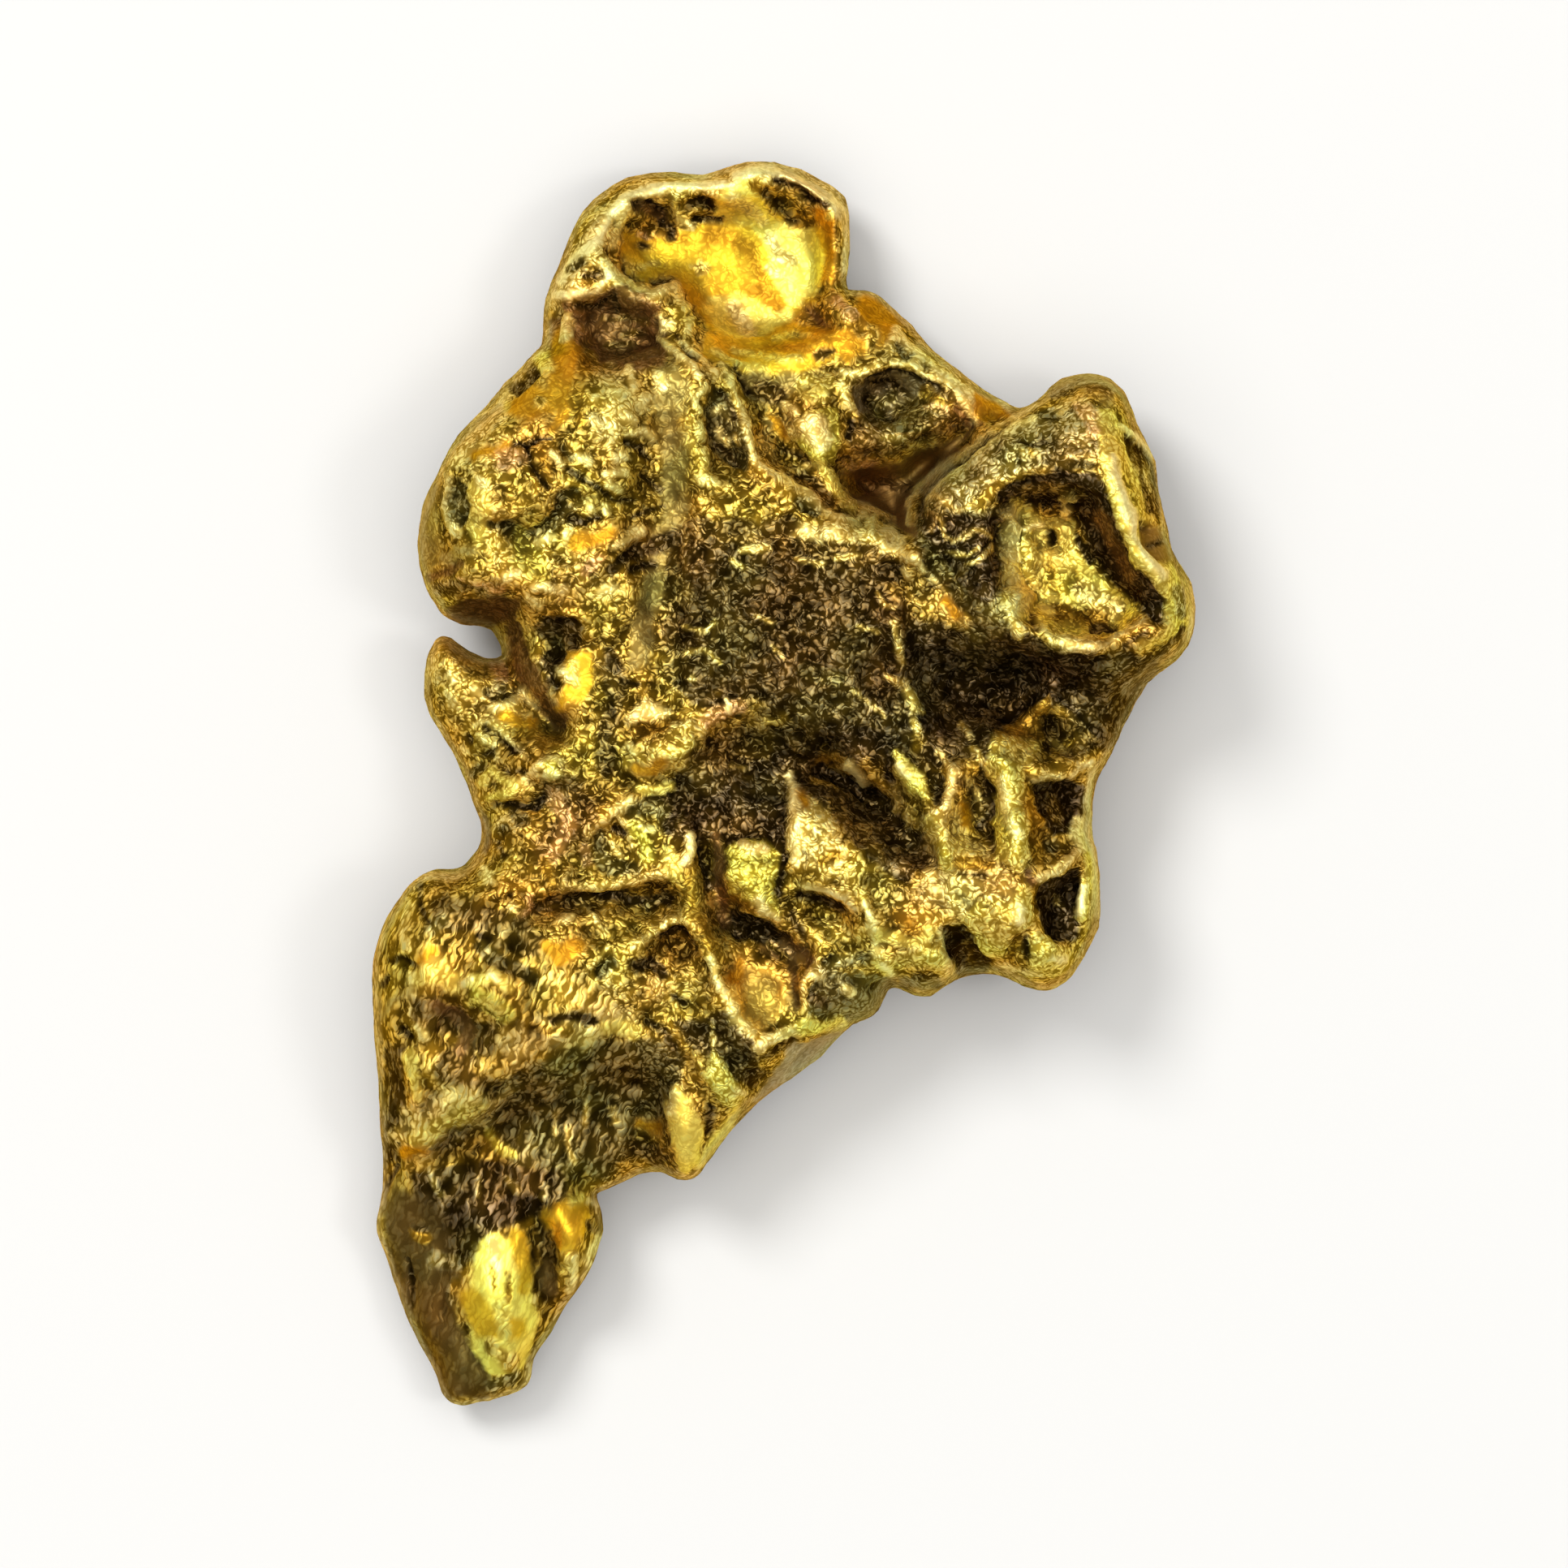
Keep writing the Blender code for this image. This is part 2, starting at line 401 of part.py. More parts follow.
def turn_in(depth, rounding):
    """0 on the outline and 1 past the rounding, along a quarter of an ellipse."""
    share = np.clip(1.0 - depth / rounding, 0.0, 1.0)
    return np.sqrt(1.0 - share ** 2)


def face_height(places, depth):
    """Height of the upper face before it turns into the side."""
    x, y = places[:, 0], places[:, 1]
    height = np.full(len(places), MIDDLE_HEIGHT)
    height -= FOOT_FALL * np.clip(FOOT_FALL_FROM - y, 0, None)
    height -= HEAD_FALL * np.clip(y - HEAD_FALL_FROM, 0, None)
    height -= SIDE_FALL * np.clip(SIDE_FALL_FROM - x, 0, None)
    for _name, *form in SWELLS:
        height += swell(places, *form)
    for _name, *form in LEDGES:
        height += ledge(places, *form)
    for _name, *form in RIDGES:
        height += ridge(places, *form)
    height += EDGE_ROLL * np.exp(-((depth - EDGE_ROLL_AT) / EDGE_ROLL_WIDTH) ** 2)
    height += lumps(places, LUMP_SIZE, LUMP_HEIGHT, 1.5)
    height += lumps(places, GRAIN_SIZE, GRAIN_HEIGHT, 7.5)
    return height


def back_height(places):
    """Height of the underside before it turns into the side."""
    height = BACK_CLEARANCE + lumps(places, BACK_LUMP_SIZE, BACK_LUMP_HEIGHT, 21.5)
    height += lumps(places, BACK_GRAIN_SIZE, BACK_GRAIN_HEIGHT, 27.5)
    for _name, *form in BACK_SWELLS:
        height += swell(places, *form)
    for _name, *form in BACK_RIDGES:
        height += ridge(places, *form)
    height = np.maximum(height, LEAST_CLEARANCE)
    for _name, *form in RESTING_FLATS:
        height -= FLAT_DEPTH * swell(places, *form)
    return height


def rim_height(places):
    """Height of the side's widest line."""
    upper = face_height(places, np.zeros(len(places)))
    return RIM_SHARE * upper + lumps(places, RIM_WANDER_SIZE, RIM_WANDER, 33.5)


def front_surface(places, depth):
    """Height of the upper face, down to the widest line."""
    rim = rim_height(places)
    rounding = FRONT_ROUNDING + lumps(places, ROUNDING_WANDER_SIZE, ROUNDING_WANDER, 41.5)
    return rim + (face_height(places, depth) - rim) * turn_in(depth, rounding)


def back_surface(places, depth):
    """Height of the underside, up to the widest line and nowhere below the ground."""
    rim = rim_height(places)
    rounding = BACK_ROUNDING + lumps(places, ROUNDING_WANDER_SIZE, ROUNDING_WANDER, 47.5)
    height = rim + (back_height(places) - rim) * turn_in(depth, rounding)
    return np.maximum(height, 0.0)


def along_path(path, step, closed=False):
    """Points a step apart along a path, with the direction there."""
    ends = path[1:] + path[:1] if closed else path[1:]
    for (ax, ay), (bx, by) in zip(path, ends):
        length = math.hypot(bx - ax, by - ay)
        direction = ((bx - ax) / length, (by - ay) / length)
        pieces = max(1, round(length / step))
        for i in range(pieces):
            t = i / pieces
            yield (ax + (bx - ax) * t, ay + (by - ay) * t), direction


def form_lines(step):
    """Points along every crest and crack, and along both sides of every step."""
    for _name, _height, _half_width, path in RIDGES:
        for point, _direction in along_path(path, step):
            yield point
        yield path[-1]
    for _name, _height, step_width, corners in LEDGES:
        for (x, y), (dx, dy) in along_path(corners, step, closed=True):
            for side in STEP_LINES:
                yield x - dy * side * step_width, y + dx * side * step_width


def even_grid(step):
    """A grid of equal triangles over the nugget's box."""
    row_gap = step * math.sqrt(3.0) / 2.0
    low, high = np.min(OUTLINE, axis=0), np.max(OUTLINE, axis=0)
    for row in range(int((high[1] - low[1]) / row_gap) + 1):
        for column in range(int((high[0] - low[0]) / step) + 1):
            yield low[0] + step * (column + 0.5 * (row % 2)), low[1] + row_gap * row


def inset_row(rim, inset):
    """The rim moved inwards."""
    along = np.roll(rim, -1, axis=0) - np.roll(rim, 1, axis=0)
    along /= np.linalg.norm(along, axis=1)[:, None]
    return rim + inset * np.column_stack((along[:, 1], -along[:, 0]))


def spread_places(rim, step, lines):
    """Places inside the rim, none much nearer to another than a step."""
    wanted = []
    for inset in INSET_ROWS:
        row = inset_row(rim, inset)
        kept = depth_inside(row, rim) > INSET_SLACK * inset
        wanted += [(place, ROW_SHARE * min(step, RIM_STEP)) for place in row[kept]]
    wanted += [(np.array(place), LINE_SHARE * step) for place in lines]
    wanted += [(np.array(place), GRID_SHARE * step) for place in even_grid(step)]
    depth = depth_inside(np.array([place for place, _gap in wanted]), rim)
    cells, chosen = {}, []

    def neighbours(place):
        column, row = int(place[0] // step), int(place[1] // step)
        for i in (-1, 0, 1):
            for j in (-1, 0, 1):
                yield from cells.get((column + i, row + j), ())

    for (place, gap), inset in zip(wanted, depth):
        if inset < CROWDED_DEPTH:
            gap *= CROWDED_SHARE
        if inset < RIM_CLEARANCE or any(math.dist(place, other) < gap
                                        for other in neighbours(place)):
            continue
        cells.setdefault((int(place[0] // step), int(place[1] // step)), []).append(tuple(place))
        chosen.append(tuple(place))
    return chosen


def triangles(rim, places):
    """Triangles over the rim loop and the places inside it, as indices into both."""
    flat = [Vector(p) for p in rim] + [Vector(p) for p in places]
    edges = [(i, (i + 1) % len(rim)) for i in range(len(rim))]
    _verts, _edges, faces, origins, *_ = delaunay_2d_cdt(
        flat, edges, [], 1, MERGE_DISTANCE)
    return [[origins[i][0] for i in face] for face in faces]


def add_side(bm, rim, rim_verts, step, lines, surface, upward):
    """One face of the nugget, joined to the rim that both faces share."""
    places = spread_places(rim, step, lines)
    flat = np.array(places)
    heights = surface(flat, depth_inside(flat, rim))
    verts = rim_verts + [bm.verts.new((x, y, z)) for (x, y), z in zip(places, heights)]
    for face in triangles(rim, places):
        corners = [verts[i] for i in face]
        (ax, ay, _), (bx, by, _), (cx, cy, _) = (corner.co for corner in corners)
        counter_clockwise = (bx - ax) * (cy - ay) - (by - ay) * (cx - ax) > 0
        if counter_clockwise != upward:
            corners.reverse()
        bm.faces.new(corners)


def wear_the_sides(bm, rim_verts):
    """Lumps and dents in the sides, leaving the widest line and the two faces as they are."""
    bm.normal_update()
    widest = KDTree(len(rim_verts))
    for i, vert in enumerate(rim_verts):
        widest.insert(vert.co, i)
    widest.balance()
    moves = []
    for vert in bm.verts:
        steepness = 1.0 - abs(vert.normal.z)
        off_the_line = min(1.0, widest.find(vert.co)[2] / SIDE_LUMP_MARGIN)
        off_the_ground = min(1.0, vert.co.z / SIDE_LUMP_MARGIN)
        lump = noise.noise(vert.co / SIDE_LUMP_SIZE)
        share = min(1.0, SIDE_LUMP_STEEPNESS * steepness) * off_the_line * off_the_ground
        moves.append(vert.normal * lump * share * SIDE_LUMP_HEIGHT)
    for vert, move in zip(bm.verts, moves):
        vert.co += move


def fit_to_size(bm):
    """Scale to the driving sizes, with the origin below the middle of the box."""
    points = np.array([vert.co for vert in bm.verts])
    low, high = points.min(axis=0), points.max(axis=0)
    scale = np.array([WIDTH, LENGTH, THICKNESS]) / (high - low) * MM
    base = np.array([(low[0] + high[0]) / 2, (low[1] + high[1]) / 2, low[2]])
    for vert, point in zip(bm.verts, points):
        vert.co = (point - base) * scale


def gold_material():
    material = bpy.data.materials.new("native gold")
    material.use_nodes = True
    shader = material.node_tree.nodes["Principled BSDF"]
    shader.inputs["Base Color"].default_value = GOLD
    shader.inputs["Metallic"].default_value = 1.0
    shader.inputs["Roughness"].default_value = GOLD_ROUGHNESS
    return material


def build_nugget():
    rim = smooth_loop(OUTLINE, RIM_STEP)
    bm = bmesh.new()
    rim_verts = [bm.verts.new((x, y, z)) for (x, y), z in zip(rim, rim_height(rim))]
    add_side(bm, rim, rim_verts, FRONT_STEP, form_lines(FRONT_STEP), front_surface, True)
    add_side(bm, rim, rim_verts, BACK_STEP, [], back_surface, False)
    wear_the_sides(bm, rim_verts)
    fit_to_size(bm)
    mesh = bpy.data.meshes.new("nugget")
    bm.to_mesh(mesh)
    bm.free()
    mesh.materials.append(gold_material())
    nugget = bpy.data.objects.new("nugget", mesh)
    collection = bpy.data.collections.new("gold nugget")
    bpy.context.scene.collection.children.link(collection)
    collection.objects.link(nugget)
    return nugget


for old in list(bpy.data.objects):
    bpy.data.objects.remove(old, do_unlink=True)
nugget = build_nugget()
print("triangles:", len(nugget.data.polygons))
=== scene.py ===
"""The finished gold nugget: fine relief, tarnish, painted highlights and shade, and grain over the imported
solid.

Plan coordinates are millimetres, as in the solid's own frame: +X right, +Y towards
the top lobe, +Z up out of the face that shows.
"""
import math

import bmesh
import bpy
import numpy as np
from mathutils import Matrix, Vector, kdtree, noise


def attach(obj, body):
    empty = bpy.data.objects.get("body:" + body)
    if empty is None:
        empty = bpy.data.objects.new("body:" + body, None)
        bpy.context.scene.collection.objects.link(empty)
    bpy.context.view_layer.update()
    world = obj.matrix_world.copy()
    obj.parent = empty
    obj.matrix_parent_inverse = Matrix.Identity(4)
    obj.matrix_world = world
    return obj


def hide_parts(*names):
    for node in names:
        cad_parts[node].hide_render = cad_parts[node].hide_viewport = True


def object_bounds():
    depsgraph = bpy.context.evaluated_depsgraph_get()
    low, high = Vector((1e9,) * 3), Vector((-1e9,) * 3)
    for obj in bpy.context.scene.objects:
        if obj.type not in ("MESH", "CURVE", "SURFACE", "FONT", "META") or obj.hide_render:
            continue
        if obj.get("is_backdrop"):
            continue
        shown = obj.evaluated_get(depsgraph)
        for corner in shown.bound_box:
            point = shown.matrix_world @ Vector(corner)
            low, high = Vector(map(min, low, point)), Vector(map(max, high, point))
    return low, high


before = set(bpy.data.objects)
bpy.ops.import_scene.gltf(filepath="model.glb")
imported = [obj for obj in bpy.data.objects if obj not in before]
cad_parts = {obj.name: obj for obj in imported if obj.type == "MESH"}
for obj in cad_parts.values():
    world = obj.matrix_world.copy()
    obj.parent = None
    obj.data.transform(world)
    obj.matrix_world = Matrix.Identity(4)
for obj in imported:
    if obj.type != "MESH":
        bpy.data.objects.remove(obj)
CAD_LOW, CAD_HIGH = (tuple(corner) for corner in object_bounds())
MM = 0.001

# Camera: straight down, far enough for little perspective; lengths in metres, sensor in millimetres.
CAMERA_DISTANCE = 0.25
FRAME_WIDTH = 0.0301875
FOCUS_HEIGHT = 0.002
SENSOR = 36.0

# Tones: colour of the metal that stands proud, share of it that does, strength of the grain.
# Besides the metal's own tones, the pale ones (cream, facet, glow and sun above all) serve as
# painted highlights, and the dark ones (black and umber above all) as painted shade.
TONES_AND_PAINTED_LIGHT = {
    "gold": ((0.74, 0.535, 0.115), 0.58, 1.0),
    "bright": ((0.87, 0.68, 0.185), 0.72, 1.0),
    "straw": ((0.95, 0.78, 0.27), 0.80, 0.9),
    "cream": ((0.98, 0.85, 0.32), 0.95, 0.6),
    "facet": ((0.97, 0.86, 0.36), 1.00, 0.25),
    "lemon": ((0.97, 0.84, 0.19), 0.90, 0.75),
    "sun": ((1.00, 0.87, 0.23), 0.87, 0.95),
    "lime": ((0.86, 0.79, 0.15), 0.76, 0.95),
    "glow": ((0.96, 0.81, 0.15), 0.96, 0.35),
    "honey": ((0.72, 0.46, 0.030), 0.94, 0.35),
    "orange": ((0.55, 0.285, 0.018), 0.86, 0.45),
    "amber": ((0.52, 0.33, 0.045), 0.64, 0.9),
    "pink": ((0.84, 0.57, 0.24), 0.72, 0.9),
    "brown": ((0.38, 0.27, 0.09), 0.50, 1.0),
    "earth": ((0.19, 0.135, 0.056), 0.52, 1.0),
    "umber": ((0.27, 0.20, 0.086), 0.44, 1.0),
    "rust": ((0.27, 0.16, 0.045), 0.92, 0.25),
    "maroon": ((0.29, 0.17, 0.058), 0.68, 0.75),
    "olive": ((0.37, 0.31, 0.12), 0.54, 1.0),
    "black": ((0.195, 0.145, 0.078), 0.35, 1.0),
    "satin": ((0.38, 0.285, 0.078), 0.82, 0.56),
    "sage": ((0.58, 0.50, 0.22), 0.62, 1.0),
    "grey": ((0.36, 0.29, 0.16), 0.80, 0.7),
    "slate": ((0.30, 0.26, 0.105), 0.64, 0.95),
    "ash": ((0.47, 0.42, 0.25), 0.92, 0.40),
    "butter": ((0.74, 0.52, 0.10), 0.88, 0.6),
    "bark": ((0.17, 0.11, 0.030), 0.80, 0.55),
}

# Marks laid on the skin, each over those before it, the broad ones first. Each has a tone,
# a reach and a rise in millimetres, and a course in plan, which is filled if it ends where it
# began. The pale marks on crests, ridges and lit walls are mostly painted highlights, and the
# dark marks in pits, grooves and shadowed walls are mostly painted shade.
BROAD = [
    # The plate's broad brown and earth: the metal's darker tone, with painted shade for the dark its level
    # face mirrors.
    ("brown", 0.45, 0.0, [(-2.0, 4.6), (-0.9, 4.7), (0.2, 4.4), (1.6, 4.3), (1.9, 3.2), (2.0, 1.5),
        (0.5, 1.4), (-0.7, 2.0), (-1.9, 2.1), (-1.9, 3.2), (-2.0, 4.6)]),
    ("earth", 0.40, 0.0, [(-1.4, 4.2), (-0.8, 4.1), (0.2, 4.0), (1.5, 3.8), (1.8, 3.0), (1.9, 1.7),
        (0.5, 1.5), (-0.7, 2.0), (-1.4, 2.0), (-1.6, 3.2), (-1.4, 4.2)]),
    ("umber", 0.20, 0.0, [(2.5, 2.9), (3.4, 2.9), (4.3, 3.0), (5.0, 2.4), (6.0, 2.3), (7.0, 2.3),
        (6.7, 1.2), (6.0, 0.8), (5.4, 1.6), (4.8, 1.7), (4.0, 0.8), (2.8, 0.9), (2.4, 1.6), (2.5, 2.9)]),
    ("black", 0.35, 0.0, [(2.7, 2.6), (3.6, 1.6), (4.0, 1.9), (4.8, 2.2), (5.6, 2.2)]),
    ("umber", 0.25, 0.0, [(2.75, 4.9), (2.9, 4.2), (3.1, 3.6), (3.9, 3.3)]),
    ("umber", 0.20, 0.0, [(0.4, 1.5), (1.6, 1.6), (2.4, 1.2), (2.2, 0.5), (1.0, 0.6), (0.4, 1.5)]),
    ("black", 0.20, 0.0, [(0.3, 0.6), (0.9, 1.0), (1.9, 0.8), (2.6, 1.3), (3.3, 0.8)]),
    ("umber", 0.25, 0.0, [(-2.2, -0.3), (-1.3, 0.6), (0.4, 1.0), (0.3, 0.2), (0.0, -1.0), (-0.5, -1.1),
        (-1.4, -0.9), (-2.0, -0.8), (-2.2, -0.3)]),
    ("black", 0.25, 0.0, [(-1.7, -0.6), (-0.9, -0.2), (-0.3, -0.4), (-0.1, -0.9)]),
    ("black", 0.20, 0.0, [(-0.4, 0.3), (0.0, 0.7)]),
    ("umber", 0.20, 0.0, [(0.6, 3.2), (1.2, 3.5), (1.8, 4.0)]),
    ("umber", 0.25, 0.0, [(2.6, 0.4), (3.6, 0.9), (4.0, 0.4), (3.9, -0.6)]),
    ("olive", 0.18, 0.0, [(2.7, 5.2), (3.3, 5.1), (4.1, 5.1), (4.2, 4.0), (4.4, 3.1), (3.7, 2.9),
        (3.3, 3.5), (2.9, 4.1), (2.7, 5.2)]),
    ("sage", 0.12, 0.0, [(2.8, 5.5), (3.5, 6.1), (4.3, 6.7), (5.0, 7.0), (5.6, 7.3), (6.0, 7.1), (5.9, 6.3),
        (5.6, 6.1), (4.8, 6.1), (4.0, 5.9), (3.3, 5.3), (2.8, 5.5)]),
    ("satin", 0.29, 0.0, [(-2.15, 7.8), (-2.1, 7.2), (-2.1, 6.0), (-2.15, 5.2)]),
    ("satin", 0.20, 0.0, [(-2.15, 5.2), (-2.45, 4.2), (-2.65, 3.2), (-2.75, 2.4)]),
    ("satin", 0.30, 0.0, [(5.4, 7.7), (5.9, 7.7), (6.3, 7.5)]),
    ("satin", 0.22, 0.0, [(-6.8, 5.6), (-6.85, 5.0), (-6.75, 4.4)]),
    # Painted shade: the dark olive band over the leg's slope down towards the tip.
    ("olive", 0.25, 0.0, [(-5.0, -5.6), (-3.5, -5.1), (-2.3, -5.1), (-2.1, -5.9), (-3.0, -6.5),
        (-3.6, -7.4), (-5.0, -7.2), (-5.5, -6.4), (-5.0, -5.6)]),
    ("umber", 0.18, 0.0, [(-7.0, -7.6), (-5.6, -7.4), (-4.4, -7.6), (-4.4, -7.9), (-5.2, -8.2),
        (-5.8, -8.6), (-6.3, -9.2), (-7.0, -8.6), (-7.0, -7.6)]),
    ("black", 0.22, 0.0, [(-6.3, -8.3), (-5.6, -8.25), (-4.9, -8.1)]),
    ("bark", 0.30, 0.0, [(-7.5, -8.0), (-7.0, -8.2), (-6.7, -8.9), (-6.5, -9.6), (-6.3, -10.4),
        (-6.0, -11.2), (-5.9, -11.6), (-6.4, -11.7), (-6.9, -10.7), (-7.3, -9.4), (-7.5, -8.0)]),
    ("umber", 0.22, 0.0, [(-7.45, -5.2), (-7.5, -6.4), (-7.6, -7.2)]),
    ("umber", 0.15, 0.0, [(-2.0, -4.6), (-1.1, -4.5), (-0.6, -5.1), (-0.6, -5.7), (-1.1, -5.4),
        (-1.5, -5.0), (-2.0, -4.6)]),
    ("bright", 0.40, 0.0, [(1.0, -1.6), (2.4, -2.4), (3.4, -1.8), (2.4, -3.2)]),
    ("bright", 0.45, 0.0, [(-3.3, 7.4), (-3.2, 6.8)]),
    ("bright", 0.45, 0.0, [(-5.6, 7.0), (-5.8, 5.4), (-5.2, 4.4), (-4.4, 4.1), (-3.6, 3.8)]),
    ("bright", 0.40, 0.0, [(-6.5, 2.3), (-6.2, 1.6), (-5.4, 1.4)]),
    ("brown", 0.30, 0.0, [(-6.4, -2.4), (-5.6, -2.7), (-4.8, -3.1)]),
    ("bright", 0.30, 0.0, [(-4.6, -3.9), (-3.4, -3.9), (-2.4, -4.0), (-1.6, -3.9)]),
    ("straw", 0.45, 0.0, [(-5.8, -6.0), (-6.4, -6.2), (-7.0, -6.8)]),
    ("straw", 0.32, 0.0, [(-5.2, -4.9), (-4.3, -4.7), (-3.2, -4.5)]),
    ("brown", 0.35, 0.0, [(-4.3, 0.1), (-3.9, -0.6), (-4.5, -1.2)]),
    ("pink", 0.15, 0.0, [(-4.4, -0.2), (-4.1, -0.8), (-4.5, -1.5)]),
    ("brown", 0.20, 0.0, [(-3.3, 2.4), (-3.2, 1.6), (-3.4, 1.1), (-3.4, 0.3)]),
]

